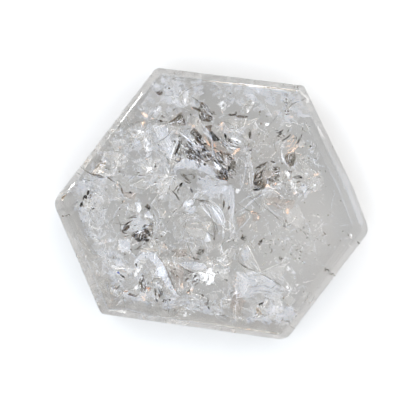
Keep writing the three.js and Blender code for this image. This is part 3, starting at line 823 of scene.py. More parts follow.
# Stained shards, placed one by one: the stain, the depth, the outline.
SHARDS = [
    # the blue gleam: a painted glint, a blue film that stands in for a flash of light
    ("painted_blue_glint", 14.8, [(-23.3, -17.0), (-23.0, -16.8), (-22.7, -17.3), (-22.9, -17.6)]),
    # the dark heart
    ("brown", 14.5, [(-1.9, 19.2), (0.2, 19.5), (-0.1, 18.5), (0.4, 17.7), (-0.7, 17.9)]),
    ("black", 14.6, [(-0.7, 18), (0.4, 17.8), (1.3, 16.8), (2.1, 15.9), (1.3, 15.3), (0.4, 15.5),
                     (-0.1, 16.4)]),
    ("olive", 13.8, [(-0.5, 17.9), (0.6, 17.5), (1.6, 16.3), (1.9, 15.6), (0.6, 15.3), (0.0, 16.2)]),
    ("black", 14.5, [(3.2, 17.5), (3.5, 17.2), (3.9, 16.5), (3.5, 16), (3.2, 16.7)]),
    ("brown", 13.5, [(-3.7, 18.4), (-3, 17.5), (-2.3, 16.9), (-2.4, 16.4), (-3.2, 15.3), (-3.9, 17.3)]),
    ("black", 14.0, [(-3.5, 17.1), (-2.6, 16.6), (-2.6, 15.5), (-3.2, 15.2), (-3.8, 16)]),
    ("olive", 12.0, [(-5, 17.2), (-4.6, 18.3), (-3.9, 18.5), (-3.6, 17.4), (-4.3, 16.8)]),
    ("black", 14.5, [(-2.4, 14.8), (-2, 14.9), (-1.9, 14.5), (-2.3, 14.4)]),
    ("black", 14.5, [(-1.8, 15.2), (-1.3, 15.1), (-1.1, 14.6), (-1.5, 14.6)]),
    ("brown", 13.5, [(-2.6, 14.4), (-1.3, 14.4), (-0.9, 13.2), (-0.4, 13), (-1.2, 12.9), (-2.4, 12.8)]),
    ("black", 14.2, [(-1.9, 14.1), (-1.6, 14), (-1.5, 13.4), (-1.8, 13.1), (-2.1, 13.5)]),
    ("black", 14.8, [(-8, 15.9), (-7.7, 15), (-7.7, 14.3), (-8.1, 13.5), (-8.8, 12), (-9, 12.3),
                     (-8.5, 13.6)]),
    ("olive", 12.5, [(-6.4, 13), (-5, 13.2), (-4, 12.2), (-4.4, 11), (-5.6, 11.4), (-6.3, 12)]),
    ("brown", 13.2, [(-4.5, 12.4), (-3.4, 12.4), (-2.5, 12), (-3, 11), (-4, 10.9)]),
    ("brown", 13.0, [(-2, 12), (-0.6, 12.1), (0.2, 11.6), (-0.3, 11.1), (-1.1, 11.5), (-1.8, 11.3)]),
    ("olive", 12.5, [(-4.3, 9.6), (-2.8, 9.9), (-2.5, 9), (-3.2, 8.7)]),
    ("olive", 12.8, [(1.1, 12.7), (2.5, 12.8), (2.9, 11.9), (3.3, 10.9), (3.1, 10.1), (2.1, 10.5),
                     (1.5, 11.7)]),
    ("brown", 13.8, [(3, 12.8), (4, 12.5), (4.9, 12.3), (4.7, 11.8), (3.9, 11.7), (3.4, 12.2)]),
    ("olive", 12.4, [(4.2, 11.4), (5.6, 11.9), (5.9, 11), (4.6, 10.7)]),
    ("black", 14.5, [(4, 9.5), (4.4, 9.4), (4.8, 8.8), (4.4, 8.5), (4.3, 7.9), (4, 8), (4.1, 8.8)]),
    ("olive", 13.4, [(4.9, 10.4), (5.9, 10.7), (6.1, 9.3), (5.9, 8.3), (4.9, 8), (4.5, 8.7),
                     (4.7, 9.7)]),
    ("brown", 13.0, [(2.6, 8.9), (3.5, 8.5), (4, 7.1), (4.3, 6.1), (4, 5.6), (2.7, 5.9), (2.1, 6.8),
                     (2.8, 7.7)]),
    ("brown", 12.8, [(0.9, 7), (1.9, 6.9), (2.6, 6.4), (2.4, 5.9), (1.7, 6.2)]),
    ("olive", 12.6, [(1.7, 8), (2.7, 8.6), (2.6, 7.4), (1.9, 7.2)]),
    # the wedge and the patch above the heart
    ("tan", 13.0, [(-10.7, 19.9), (-9.3, 21.1), (-7.3, 22.7), (-6.9, 21.2), (-6.4, 19.7), (-8, 19.1),
                   (-9.4, 19.3)]),
    ("tan", 14.0, [(-10.2, 20.2), (-8.4, 21.7), (-7.5, 21.9), (-8.6, 20.6)]),
    ("olive", 14.4, [(-8.4, 21.9), (-7.3, 22.7), (-7.1, 21.9), (-7.6, 21.3), (-9.4, 20.7)]),
    ("tan", 12.0, [(-3.4, 23.5), (-2.2, 24.8), (-1, 24.4), (-0.6, 22.8), (-1.6, 21.9), (-3.2, 22.4)]),
    ("tan", 12.6, [(-3, 22.2), (-1.2, 22.4), (0.1, 21.6), (0, 20.4), (-1.5, 20.3), (-2.9, 21.2)]),
    ("brown", 14.0, [(-3.9, 23.7), (-3.2, 23.6), (-2.7, 23.2), (-3.5, 22.9)]),
    ("black", 14.3, [(-0.8, 21.7), (-0.2, 21.9), (0.3, 21.4), (-0.2, 21.2)]),
    ("brown", 14.0, [(-1.4, 20.9), (-0.7, 21), (-0.1, 20.4), (-0.8, 20.2)]),
    ("brown", 14.0, [(-2.6, 24.9), (-2.2, 25.2), (-1.8, 24.4), (-2.4, 24.4)]),
    ("olive", 13.5, [(4.3, 22.3), (5.3, 22.1), (6.5, 21.9), (5.4, 21.7), (4.4, 21.7)]),
    ("brown", 13.2, [(5.8, 21.9), (7.4, 22), (8.9, 21.6), (8.4, 21.2), (6.6, 21.3)]),
    # the ring at the right
    ("brown", 13.2, [(10.6, 5.3), (11.5, 5.7), (12.2, 5.6), (12, 4.5), (11.2, 4.4), (10.6, 4.7)]),
    ("olive", 12.6, [(11.6, 5.8), (12.5, 5.9), (13.4, 4.8), (13.1, 4.2), (12.1, 4.1)]),
    ("brown", 13.4, [(10.1, 3.6), (11.3, 3.8), (12.2, 3.7), (11.9, 3.2), (10.8, 3.1)]),
    ("black", 14.4, [(10.5, 5.3), (11.2, 5.4), (11.1, 4.9), (10.6, 4.7)]),
    ("black", 14.2, [(10.7, 6.9), (11, 6.8), (11.1, 6.2), (10.8, 6.2)]),
    ("tan", 12.4, [(10.9, 8.9), (12.4, 9.8), (13.6, 10), (13.2, 9.3), (12, 8.6)]),
    ("tan", 12.0, [(10.6, 8.0), (11.8, 8.6), (12.8, 8.0), (12.2, 6.4), (13.6, 5.2), (13.2, 4.0),
                   (10.6, 3.4)]),
    ("tan", 12.2, [(13.6, 6.2), (14.6, 6.4), (16.2, 5.8), (15.0, 4.9), (13.6, 4.9)]),
    ("black", 14.2, [(12.6, 8.5), (13.1, 8.6), (13.2, 8.1), (12.7, 8)]),
    ("olive", 13.2, [(15.2, 9.3), (16.1, 9.2), (16.9, 8.9), (16.5, 8.3), (15.9, 8.1), (15.4, 8.5)]),
    ("brown", 14.0, [(15.5, 8.7), (16.3, 8.6), (16.5, 8.2), (15.8, 8.1)]),
    ("olive", 12.8, [(16, 8), (16.6, 7.9), (16.6, 6.6), (16.1, 6), (15.4, 6.4), (15.9, 7.2)]),
    ("brown", 13.4, [(16.1, 7.9), (16.5, 7.7), (16.4, 7.1), (16, 7.2)]),
    ("brown", 13.4, [(13.8, 6), (14.3, 6.4), (14.6, 6), (15.3, 5.9), (15.8, 5.6), (14.8, 5.5)]),
    ("rust", 14.0, [(15.2, 4.6), (15.8, 5), (16.5, 5.4), (16, 4.7), (15.5, 4.3)]),
    ("tan", 12.6, [(18.1, 12.0), (19.4, 12.5), (20.6, 12.2), (20.9, 11.0), (20.4, 9.3), (19.5, 9.0),
                   (18.6, 10.3)]),
    ("tan", 13.2, [(18.2, 11.9), (19.2, 12.2), (18.9, 11.2), (18.5, 10.7)]),
    ("tan", 13.6, [(19.8, 10.8), (20.8, 11.4), (20.4, 9.4), (19.6, 9.2)]),
    ("olive", 13.4, [(20.2, 6.5), (21.6, 7.2), (22.3, 6.8), (22.8, 6.4), (22.3, 6.2), (21.2, 6)]),
    ("black", 14.2, [(21.8, 6.8), (22.3, 6.7), (22.7, 6.4), (22.2, 6.2), (21.9, 6.4)]),
    ("black", 14.0, [(16.8, 17.6), (17.3, 17.9), (17.4, 17.2), (17.0, 16.8)]),
    ("brown", 13.6, [(9.2, 18), (9.9, 18), (9.9, 16.2), (9.4, 15.8), (9.2, 16.6)]),
    ("black", 14.4, [(9.4, 17.3), (9.7, 17.3), (9.7, 16.7), (9.4, 16.6)]),
    # the dark oval at the left
    ("brown", 14.2, [(-22.2, -6.7), (-21.2, -5.6), (-20.1, -5.3), (-20.2, -6.1), (-21.4, -7)]),
    ("brown", 14.4, [(-19.6, -7.9), (-18.5, -7.4), (-18.6, -8.2), (-19.1, -8.5)]),
    ("brown", 14.4, [(-17.9, -8.1), (-17.2, -7.5), (-16.3, -7.6), (-16.4, -8.1), (-17.6, -8.5)]),
    ("black", 14.8, [(-18.9, -8.9), (-17.9, -8.3), (-16.3, -8.1), (-16, -8.7), (-17, -9.2),
                     (-17.9, -9.5)]),
    ("brown", 13.6, [(-18.4, -8.8), (-17.8, -7.6), (-16.2, -7.5), (-15.9, -8.5), (-17.0, -9.2)]),
    ("brown", 13.6, [(-16.9, -6.4), (-15.8, -6.2), (-15.2, -7.2), (-15.2, -8.2), (-16.0, -7.6)]),
    ("brown", 13.6, [(-19.9, -8.0), (-19.2, -7.4), (-18.5, -7.5), (-18.9, -8.5)]),
    ("brown", 13.6, [(-22.1, -6.9), (-21.6, -5.8), (-20.4, -5.2), (-20.3, -5.9), (-21.3, -6.9)]),
    ("black", 14.8, [(-16.6, -8.7), (-15.9, -8.7), (-15.2, -8.7), (-15.5, -9.3), (-16, -9.5),
                     (-16.6, -9.1)]),
    ("brown", 14.3, [(-16.9, -6.4), (-15.9, -6.3), (-15.3, -7), (-15.1, -7.9), (-15.6, -7.8),
                     (-16.4, -7.2)]),
    ("black", 14.7, [(-16, -7), (-15.5, -6.8), (-15.1, -7.7), (-15.3, -8)]),
    ("black", 14.7, [(-14.8, -6.2), (-14.5, -6.3), (-14.6, -7.1), (-14.8, -7)]),
    ("olive", 14.0, [(-15.6, -5.4), (-14.5, -4.3), (-14.3, -5.3), (-14.5, -6), (-15.3, -5.8)]),
    ("brown", 14.5, [(-16.7, -0.7), (-15.9, 0), (-15.2, -0.6), (-15, -1.1), (-15.5, -1.7),
                     (-16.3, -1.1)]),
    ("black", 14.7, [(-15.9, -0.8), (-15.4, -1), (-15.5, -1.6), (-15.8, -1.3)]),
    # spots
    ("black", 14.4, [(-7.9, 4.3), (-7.3, 5.1), (-7.0, 5.0), (-7.5, 4.1)]),
    ("rust", 14.0, [(-16.5, -20.9), (-15.5, -20.6), (-14.9, -21), (-15.3, -21.5), (-16, -21.2)]),
    ("black", 14.2, [(-17, -18.8), (-16.7, -18.7), (-16.6, -19.2), (-17, -19.5), (-17.2, -19.2)]),
    ("brown", 14.2, [(-14, -22.4), (-13.6, -22.3), (-13.6, -22.9), (-13.9, -22.9)]),
    ("black", 14.2, [(-13.7, -23.8), (-13.3, -23.7), (-13.3, -24.2), (-13.6, -24.3)]),
    ("brown", 12.5, [(-13.9, 27.5), (-12.8, 28), (-12, 27.6), (-12.3, 26.9), (-13.3, 26.8)]),
    ("olive", 12.5, [(-4.1, -12.3), (-3, -11.3), (-1.7, -11.2), (-1.6, -12), (-2.6, -12.7)]),
    ("olive", 12.5, [(7.2, -8.4), (7.6, -7.9), (8.3, -8.5), (8.1, -8.9)]),
]

# Stained crack edges, placed one by one: the stain, the width, the path.
STREAKS = [
    # the arch's outer edge, and the wedge beside it
    ("brown", 0.20, [(-13.4, -12.9), (-12.0, -14.6), (-10.8, -16.8), (-9.6, -19.6), (-8.3, -22.6)]),
    ("brown", 0.20, [(-8.4, -14.8), (-6.8, -16.0), (-5.0, -16.9), (-3.4, -17.3)]),
    ("black", 0.45, [(-8.7, -17.7), (-8.5, -17.9), (-8.3, -18.1)]),
    ("brown", 0.35, [(-9.4, -16.2), (-9.1, -16.3), (-8.8, -16.3)]),
    ("brown", 0.45, [(-6.2, -22.1), (-5.7, -21.8), (-5.3, -21.2)]),
    ("brown", 0.30, [(-6.3, -18.7), (-5.9, -18.5), (-5.6, -18.4)]),
    ("black", 0.35, [(-4.3, -18.2), (-3.9, -17.9), (-3.4, -17.9)]),
    ("black", 0.30, [(-3.0, -19.3), (-2.9, -18.9), (-2.7, -18.5)]),
    ("black", 0.35, [(1.4, -17.0), (1.6, -16.9), (1.9, -17.2)]),
    ("black", 0.35, [(3.4, -18.7), (3.8, -19.0), (4.1, -18.8)]),
    # the wisp under the middle
    ("brown", 0.40, [(7.8, -7.5), (7.7, -8.1), (7.3, -8.8)]),
    ("brown", 0.30, [(7.2, -8.4), (7.8, -8.9), (8.6, -9.2)]),
    ("olive", 0.30, [(7.6, -8.2), (8.2, -8.4), (8.8, -9.0)]),
    # the dark heart's small black flecks
    ("black", 0.60, [(3.3, 17.4), (3.5, 16.7), (3.7, 16.1)]),
    ("black", 0.50, [(-3.3, 17.4), (-3.1, 16.8), (-2.6, 16.4)]),
    ("black", 0.60, [(-3.3, 16.2), (-3.0, 15.7), (-2.6, 15.4)]),
    ("black", 0.40, [(-2.4, 14.7), (-2.1, 14.7), (-1.4, 14.9)]),
    ("black", 0.50, [(-1.8, 14.0), (-1.7, 13.5), (-1.6, 13.0)]),
    ("brown", 0.50, [(-2.2, 13.2), (-1.4, 13.1), (-0.6, 13.0)]),
    ("black", 0.35, [(0.7, 13.9), (0.9, 13.7), (1.2, 13.6)]),
    ("black", 0.40, [(-3.6, 12.2), (-3.3, 11.9), (-2.9, 11.9)]),
    ("brown", 0.45, [(-4.2, 11.6), (-3.6, 11.2), (-2.9, 11.1)]),
    ("black", 0.35, [(0.5, 11.0), (1.2, 10.4), (2.2, 9.5), (3.0, 8.9)]),
    ("black", 0.35, [(1.8, 10.6), (2.5, 10.3), (3.2, 10.1)]),
    ("black", 0.45, [(4.1, 9.3), (4.4, 8.9), (4.7, 8.6)]),
    ("brown", 0.35, [(2.4, 8.9), (3.2, 7.9), (3.9, 6.8), (4.2, 5.8)]),
    ("brown", 0.30, [(2.0, 8.4), (2.8, 7.2), (3.6, 6.0)]),
    ("brown", 0.35, [(1.2, 6.8), (2.0, 6.4), (2.6, 5.9)]),
    ("brown", 0.50, [(3.3, 12.3), (4.0, 12.0), (4.8, 12.0)]),
    ("brown", 0.50, [(-6.2, 14.4), (-5.6, 14.0), (-5.0, 13.2)]),
    # the patch above it
    ("black", 0.45, [(-0.7, 21.6), (-0.2, 21.6), (0.3, 21.3)]),
    ("brown", 0.60, [(-3.9, 23.4), (-3.3, 23.3), (-2.7, 23.1)]),
    ("brown", 0.35, [(-4.6, 23.9), (-3.9, 23.7), (-3.4, 23.4)]),
    ("brown", 0.50, [(-2.6, 25.0), (-2.2, 24.8), (-1.9, 24.4)]),
    ("brown", 0.50, [(-1.4, 20.7), (-0.8, 20.6), (-0.2, 20.4)]),
    ("brown", 0.35, [(-2.2, 20.6), (-1.9, 20.6), (-1.6, 20.7)]),
    ("olive", 0.40, [(-2.9, 21.2), (-2.8, 21.6), (-3.1, 22.0)]),
    ("brown", 0.35, [(-0.2, 22.4), (0.1, 22.2), (0.3, 21.9)]),
    ("olive", 0.35, [(0.4, 22.8), (0.7, 22.6), (0.5, 22.2)]),
    # the dark oval's lower edge
    ("black", 0.70, [(-18.9, -8.8), (-17.8, -8.9), (-16.6, -8.8), (-15.5, -9.1)]),
    ("brown", 0.60, [(-16.6, -6.6), (-15.8, -7.2), (-15.3, -7.9)]),
    ("brown", 0.50, [(-22.0, -6.6), (-21.2, -6.0), (-20.4, -5.6)]),
    ("black", 0.35, [(-17.2, -6.2), (-16.6, -5.7), (-16.2, -5.2)]),
    ("brown", 0.50, [(-19.4, -8.2), (-18.8, -7.9), (-18.2, -7.9)]),
    # the dark heart's slanting bars
    ("black", 0.55, [(-7.8, 15.8), (-8.0, 14.6), (-8.5, 13.1), (-8.9, 12.0)]),
    ("brown", 0.45, [(-8.8, 13.2), (-8.7, 12.6), (-9.0, 11.9)]),
    ("black", 0.45, [(-5.8, 15.3), (-5.0, 14.3), (-4.4, 13.2)]),
    ("olive", 0.50, [(-5.0, 13.8), (-4.2, 12.9), (-3.6, 12.2)]),
    ("black", 0.55, [(-3.6, 17.0), (-3.1, 16.2), (-2.9, 15.3)]),
    ("brown", 0.45, [(-2.4, 14.2), (-1.8, 13.6), (-1.5, 12.9)]),
    ("black", 0.55, [(4.2, 9.4), (4.4, 8.7), (4.3, 7.9)]),
    ("black", 0.40, [(-9.0, 11.0), (-8.4, 10.4), (-7.8, 10.7), (-7.6, 11.4)]),
    ("olive", 0.45, [(-6.4, 12.2), (-5.6, 11.7), (-4.6, 11.5)]),
    ("black", 0.30, [(-8.1, 16.9), (-7.9, 16.7), (-7.6, 16.5)]),
    ("brown", 0.40, [(-6, 15.6), (-5.1, 14.9), (-4.5, 14.1)]),
    ("black", 0.35, [(-4.5, 15.9), (-3.7, 14.8), (-3.3, 14.3)]),
    ("brown", 0.35, [(-4.2, 16.2), (-3.6, 15.7), (-3.2, 15.2)]),
    ("brown", 0.60, [(-6.9, 14.1), (-5.7, 14.1), (-4.8, 13.2), (-3.9, 12.4)]),
    ("black", 0.50, [(-6.4, 14.9), (-5.9, 14.5), (-5.5, 14.1)]),
    ("black", 0.55, [(-3.6, 13.4), (-3.1, 12.7), (-2.9, 12.2)]),
    ("black", 0.50, [(-4.1, 12.4), (-3.6, 11.9), (-3.2, 11.6)]),
    ("brown", 0.40, [(-4.5, 12.2), (-4.2, 11.6), (-3.9, 11.1)]),
    ("brown", 0.35, [(-6.1, 12), (-5.6, 11.6), (-5, 11.3), (-4.5, 10.9), (-3.9, 10.7)]),
    ("black", 0.35, [(-2.8, 12.2), (-2.5, 11.6), (-3, 10.9)]),
    ("brown", 0.35, [(-3.4, 10.9), (-3.1, 10.4), (-2.9, 9.9)]),
    ("brown", 0.30, [(-5.2, 17), (-4.8, 18.1), (-4.1, 18.5), (-3.9, 17.8)]),
    ("olive", 0.30, [(-4.9, 17.2), (-4.4, 16.9), (-3.9, 16.4)]),
    ("brown", 0.30, [(-2.2, 12), (-1.4, 12.2), (-0.3, 11.8), (0.2, 11.4)]),
    ("brown", 0.35, [(0.1, 11.2), (-0.6, 10.8), (-1.4, 10.5), (-2.1, 10.9)]),
    ("black", 0.30, [(-1.3, 12), (-0.9, 11.8), (-0.5, 11.9)]),
    ("black", 0.60, [(-1.8, 10), (-1.6, 9.7), (-1.4, 9.5)]),
    ("black", 0.35, [(1.2, 12.5), (1.9, 12.6), (2.5, 12.7)]),
    ("black", 0.40, [(1.8, 10.6), (2.4, 10.3), (3.1, 10.1)]),
    ("black", 0.45, [(0.4, 11), (0.8, 10.7), (1.2, 10.5)]),
    ("black", 0.50, [(3.6, 12.1), (3.9, 12), (4.1, 11.8)]),
    ("brown", 0.35, [(4.1, 11.7), (4.5, 11.5), (4.8, 11.1)]),
    ("brown", 0.25, [(4.3, 11), (5, 11.4), (5.6, 12)]),
    ("black", 0.35, [(2.4, 9.3), (3.2, 8.6), (3.8, 7.5), (4.1, 6.4)]),
    ("black", 0.35, [(0.9, 6.9), (1.9, 6.4), (2.8, 6.5), (3.1, 7.1)]),
    ("black", 0.30, [(3.3, 6.2), (3.6, 6), (4, 5.8)]),
    ("brown", 0.25, [(2.2, 7.6), (2.7, 7.2), (3.2, 6.7)]),
    ("olive", 0.70, [(-0.9, 16.4), (-0.3, 15.2), (0.1, 14), (0.4, 12.9), (1.1, 11.5), (1.7, 10.3)]),
    ("olive", 0.30, [(-0.1, 15.9), (0.4, 14.2), (0.7, 12.9), (1.3, 11.6)]),
    ("black", 0.40, [(0.7, 13.9), (1, 13.6), (1.3, 13.4)]),
    ("brown", 0.25, [(2.1, 15.8), (3.1, 14.8), (4.8, 14.4), (5.9, 14.1)]),
    ("brown", 0.25, [(3.2, 14.1), (4.4, 13.7), (5.4, 13.2)]),
    ("olive", 0.25, [(2.6, 15), (3.6, 14.5), (5, 13.9)]),
    ("brown", 0.25, [(-7.6, 7), (-6.7, 6.8), (-5.7, 6), (-4.8, 5.7)]),
    ("olive", 0.35, [(-5.7, 7.2), (-4.9, 7.3), (-4.3, 6.9), (-4.3, 6.2)]),
    ("black", 0.35, [(-5.4, 5.4), (-5.2, 5.3), (-5, 5.2)]),
    ("black", 0.30, [(-3.2, 6.2), (-2.9, 6.1), (-2.6, 6)]),
    ("brown", 0.35, [(4.8, 6.5), (5.1, 6.4), (5.3, 6.6)]),
    # the wedge and the patch above the heart
    ("black", 0.28, [(-7.1, 21.9), (-6.9, 20.9), (-6.5, 19.8)]),
    ("brown", 0.25, [(-10.9, 19.8), (-9.2, 20.9), (-7.6, 22.3)]),
    ("olive", 0.25, [(-13.6, 20.1), (-12.2, 19.8), (-10.6, 19.8), (-9.2, 19.2)]),
    ("brown", 0.30, [(-12.2, 21.6), (-11.8, 21.4), (-11.4, 21.5)]),
    ("olive", 0.30, [(-9.5, 23.1), (-9.2, 23.3), (-8.9, 23.6)]),
    ("brown", 0.30, [(-4.9, 23.9), (-4.2, 23.6), (-3.6, 23.2)]),
    ("brown", 0.30, [(-0.9, 24.3), (-0.7, 23.3), (-0.1, 22.5), (1.2, 22)]),
    ("black", 0.35, [(-2.2, 20.8), (-2, 20.7), (-1.8, 20.7)]),
    ("black", 0.35, [(-2.9, 21.3), (-2.8, 21.2), (-2.7, 21)]),
    ("brown", 0.35, [(-2.3, 22.5), (-2.1, 22.3), (-1.9, 22)]),
    ("brown", 0.30, [(0.2, 22.8), (0.4, 22.7), (0.6, 22.5)]),
    ("brown", 0.40, [(4.2, 22.1), (5, 22), (5.9, 22.1), (6.3, 22.5)]),
    # the ring
    ("black", 0.45, [(10.2, 3.4), (10.9, 3.4), (11.8, 3.8), (12.2, 3.5)]),
    ("brown", 0.40, [(12.9, 4.2), (13.3, 4.4), (13.7, 4.8)]),
    ("black", 0.30, [(11.1, 4.8), (11.3, 4.6), (11.5, 4.6)]),
    ("brown", 0.35, [(10.5, 4.8), (10.5, 5.6), (10.8, 6.4), (10.8, 7.5)]),
    ("black", 0.40, [(11.5, 6.2), (12.2, 6.7), (12.5, 7.6), (12.8, 8.3)]),
    ("black", 0.38, [(14.1, 8.5), (14.3, 8.5), (14.5, 8.4)]),
    ("brown", 0.38, [(10.9, 8.7), (11.6, 9.2), (12.3, 9.6), (13.3, 9.9), (14, 10.5)]),
    ("black", 0.35, [(11.7, 8.9), (12, 9), (12.3, 9.1)]),
    ("black", 0.38, [(14.6, 10.5), (15.4, 10.3), (15.9, 10)]),
    ("brown", 0.25, [(17.2, 10), (17.5, 10), (17.8, 10)]),
    ("black", 0.32, [(15.5, 8.4), (16.1, 8.2), (16.6, 8.4)]),
    ("brown", 0.32, [(16.9, 9), (16.8, 8.2), (16.6, 7.4), (16.6, 6.4)]),
    ("black", 0.35, [(16.4, 6.1), (16.6, 5.8), (16.8, 5.7)]),
    ("brown", 0.35, [(13.7, 5.9), (14.2, 6.2), (14.6, 6)]),
    ("brown", 0.35, [(18.3, 10.8), (18.4, 11.4), (18.8, 11.9)]),
    ("brown", 0.30, [(18.7, 10.3), (19.1, 10.8), (19.3, 11.6)]),
    ("brown", 0.35, [(20.9, 11.5), (20.7, 11.1), (20.4, 10.5), (20.2, 9.9)]),
    ("brown", 0.30, [(18.7, 8.5), (19.3, 8), (19.8, 7.7)]),
    ("brown", 0.35, [(21.2, 5.1), (21.7, 5.5), (22.2, 5.5)]),
    ("black", 0.30, [(15.9, 17.7), (16.6, 17.5), (17.3, 17.9), (17.9, 18.4)]),
    ("black", 0.26, [(16.4, 16.4), (16.9, 17.2), (17.6, 17.5)]),
    ("brown", 0.24, [(16.0, 16.8), (16.7, 16.7), (17.5, 16.2)]),
    ("black", 0.30, [(16.6, 15.9), (16.7, 15.8), (16.8, 15.7)]),
    ("black", 0.32, [(17.4, 15.5), (18.7, 16.3), (19.7, 17.2)]),
    ("brown", 0.40, [(21.4, 14.8), (21.6, 15.4), (21.9, 16.1)]),
    ("brown", 0.38, [(22.1, 16.4), (22.3, 16.8), (22.4, 17.3)]),
    ("olive", 0.30, [(20.6, 16.9), (21, 16.4), (21, 15.8)]),
    ("brown", 0.25, [(9.3, 14.9), (9.3, 14.6), (9.2, 14)]),
    ("black", 0.30, [(9.6, 13), (9.8, 13.2), (10, 13.6)]),
    # the oval
    ("black", 0.38, [(-22.1, -6.3), (-21.4, -5.4), (-20.5, -4.7), (-19.4, -4.1)]),
    ("brown", 0.30, [(-22.2, -6.6), (-21.7, -7.2), (-20.8, -7.4)]),
    ("olive", 0.28, [(-20.9, -3.7), (-19.8, -3.4), (-18.4, -3.5)]),
    ("black", 0.35, [(-16.9, -5.8), (-16.6, -5.5), (-16.4, -5.2)]),
    ("olive", 0.25, [(-19.2, -5.5), (-18.9, -5.4), (-18.5, -5.2)]),
    ("brown", 0.25, [(-19.9, -7.7), (-19.2, -7.2), (-18.4, -7.1)]),
    ("olive", 0.30, [(-22, -8), (-21.3, -8.1), (-20.4, -7.9)]),
    # the scribble left of the middle
    ("black", 0.28, [(-9.8, 3.2), (-9.0, 2.5), (-8.4, 1.7), (-7.9, 0.9)]),
    ("brown", 0.28, [(-8.2, 4.6), (-8.8, 3.7), (-9.4, 3.0)]),
    ("olive", 0.28, [(-7.6, 4.4), (-8.3, 3.3), (-8.2, 2.4)]),
    ("black", 0.60, [(-7.9, 4.3), (-7.5, 4.8), (-7.1, 5.2)]),
    ("black", 0.35, [(-5.3, 4.0), (-5.0, 3.4), (-4.7, 2.6)]),
    ("brown", 0.28, [(-7.1, 7.2), (-6.2, 6.4), (-5.5, 5.6)]),
    ("olive", 0.28, [(-7.9, 7.4), (-6.8, 7.2), (-6.0, 6.8)]),
    ("brown", 0.28, [(-6.8, 5.9), (-6.0, 5.3), (-5.2, 5.0)]),
    ("olive", 0.35, [(-4.4, 7.2), (-4.2, 6.6), (-4.6, 6.1)]),
    ("brown", 0.26, [(-9.5, -2.4), (-9.0, -1.7), (-8.3, -1.3)]),
    ("olive", 0.26, [(-4.2, 1.2), (-3.0, 0.9), (-1.6, 0.8), (-0.4, 0.3)]),
    ("olive", 0.24, [(-0.4, -2.4), (0.4, -4.6), (0.9, -6.6), (1.2, -8.4)]),
    ("brown", 0.35, [(0.5, -8.5), (0.7, -8.8), (0.9, -9.1)]),
    ("brown", 0.50, [(3.0, 1.2), (3.1, 0.0), (3.0, -1.2)]),
    ("brown", 0.40, [(4.5, -0.6), (4.3, -1.0), (4.1, -1.5)]),
    # below the arch
    ("brown", 0.50, [(-14.0, -21.0), (-13.8, -21.8), (-13.9, -22.6)]),
    ("black", 0.28, [(-13.2, -21.0), (-12.6, -22.2), (-12.9, -23.4)]),
    ("olive", 0.45, [(-12.4, -20.8), (-12.1, -21.8), (-12.4, -22.8)]),
    ("black", 0.45, [(-13.8, -23.4), (-13.5, -24.0), (-13.2, -24.4)]),
    ("brown", 0.30, [(-12.0, -23.6), (-11.2, -23.9), (-10.2, -23.6)]),
    ("black", 0.40, [(-10.6, -23.9), (-10.3, -23.8), (-10.0, -23.9)]),
    ("brown", 0.35, [(-24.6, -20.8), (-23.8, -21.2), (-23.0, -20.6), (-22.6, -20.2)]),
    ("brown", 0.30, [(-20.6, -21.9), (-19.8, -22.6), (-18.8, -22.9), (-18.0, -22.4)]),
    ("olive", 0.35, [(-17.4, -18.4), (-17.7, -19.2), (-17.2, -20.2), (-16.8, -20.9)]),
    ("brown", 0.40, [(-2.6, -22.4), (-2.2, -22.7), (-1.9, -23.0)]),
    ("brown", 0.30, [(-1.0, -23.2), (-0.8, -24.2), (-1.2, -25.2)]),
    ("black", 0.32, [(-0.9, -25.4), (-0.7, -25.8), (-0.4, -26.2)]),
    ("olive", 0.40, [(-3.9, -13.4), (-3.4, -13.8), (-2.8, -13.8)]),
    ("brown", 0.30, [(-4.4, -13.0), (-4.2, -13.6), (-3.8, -14.0)]),
    # at the left and below
    ("black", 0.60, [(-32.6, -0.9), (-32.2, -0.1), (-31.9, 0.5)]),
    ("black", 0.35, [(-32.3, -0.2), (-31.9, -0.3), (-31.7, -0.5)]),
    ("black", 0.65, [(-31.8, 0.9), (-31.4, 1.8), (-31.0, 1.7), (-30.8, 1.1)]),
    ("black", 0.45, [(-31.7, 1.9), (-31.3, 1.6), (-31.0, 1.2)]),
    ("black", 0.65, [(-30.7, 2.0), (-30.5, 2.8), (-30.4, 3.5)]),
    ("brown", 0.55, [(-30.6, 1.6), (-30.2, 1.4), (-29.9, 2.0), (-30.0, 2.6)]),
    ("brown", 0.30, [(-31.4, 8.3), (-29.6, 7.3), (-27.8, 7.0), (-26.6, 6.5)]),
    ("olive", 0.40, [(-26.2, 6.8), (-25.2, 6.2), (-24.6, 5.6)]),
    ("brown", 0.45, [(-22.4, 4.0), (-22.1, 3.2), (-21.9, 2.4)]),
    ("black", 0.35, [(-29.6, -1.4), (-29.2, -1.2), (-28.9, -1.0)]),
    ("black", 0.32, [(-18.8, -14.7), (-18.6, -15.2), (-18.4, -15.6)]),
    ("black", 0.36, [(-22.7, -17.4), (-22.1, -17.9), (-21.4, -18.4)]),
    ("brown", 0.35, [(-16.6, -17.5), (-16.9, -18.6), (-17.3, -19.6), (-17, -20.8), (-16.2, -21.4)]),
    ("black", 0.30, [(-17.5, -19.7), (-17.4, -19.8), (-17.2, -20)]),
    ("brown", 0.25, [(-21.9, -21.7), (-21.2, -21.7), (-20.5, -21.8)]),
    ("brown", 0.35, [(-20.8, -22.5), (-19.7, -22.6), (-19, -22.5)]),
    ("brown", 0.35, [(-13.2, -21.9), (-13, -22.5), (-12.9, -23.2), (-13.3, -23.9)]),
    ("brown", 0.35, [(-23.8, -20.9), (-23.6, -20.7), (-23.4, -20.5)]),
    ("brown", 0.35, [(-20, -11), (-19.9, -11.4), (-19.7, -11.8)]),
    ("olive", 0.25, [(-17.3, -10.3), (-17.9, -10.8), (-18.6, -11.3)]),
    ("brown", 0.35, [(11.7, -9.2), (12.2, -9.4), (12.6, -8.8)]),
]

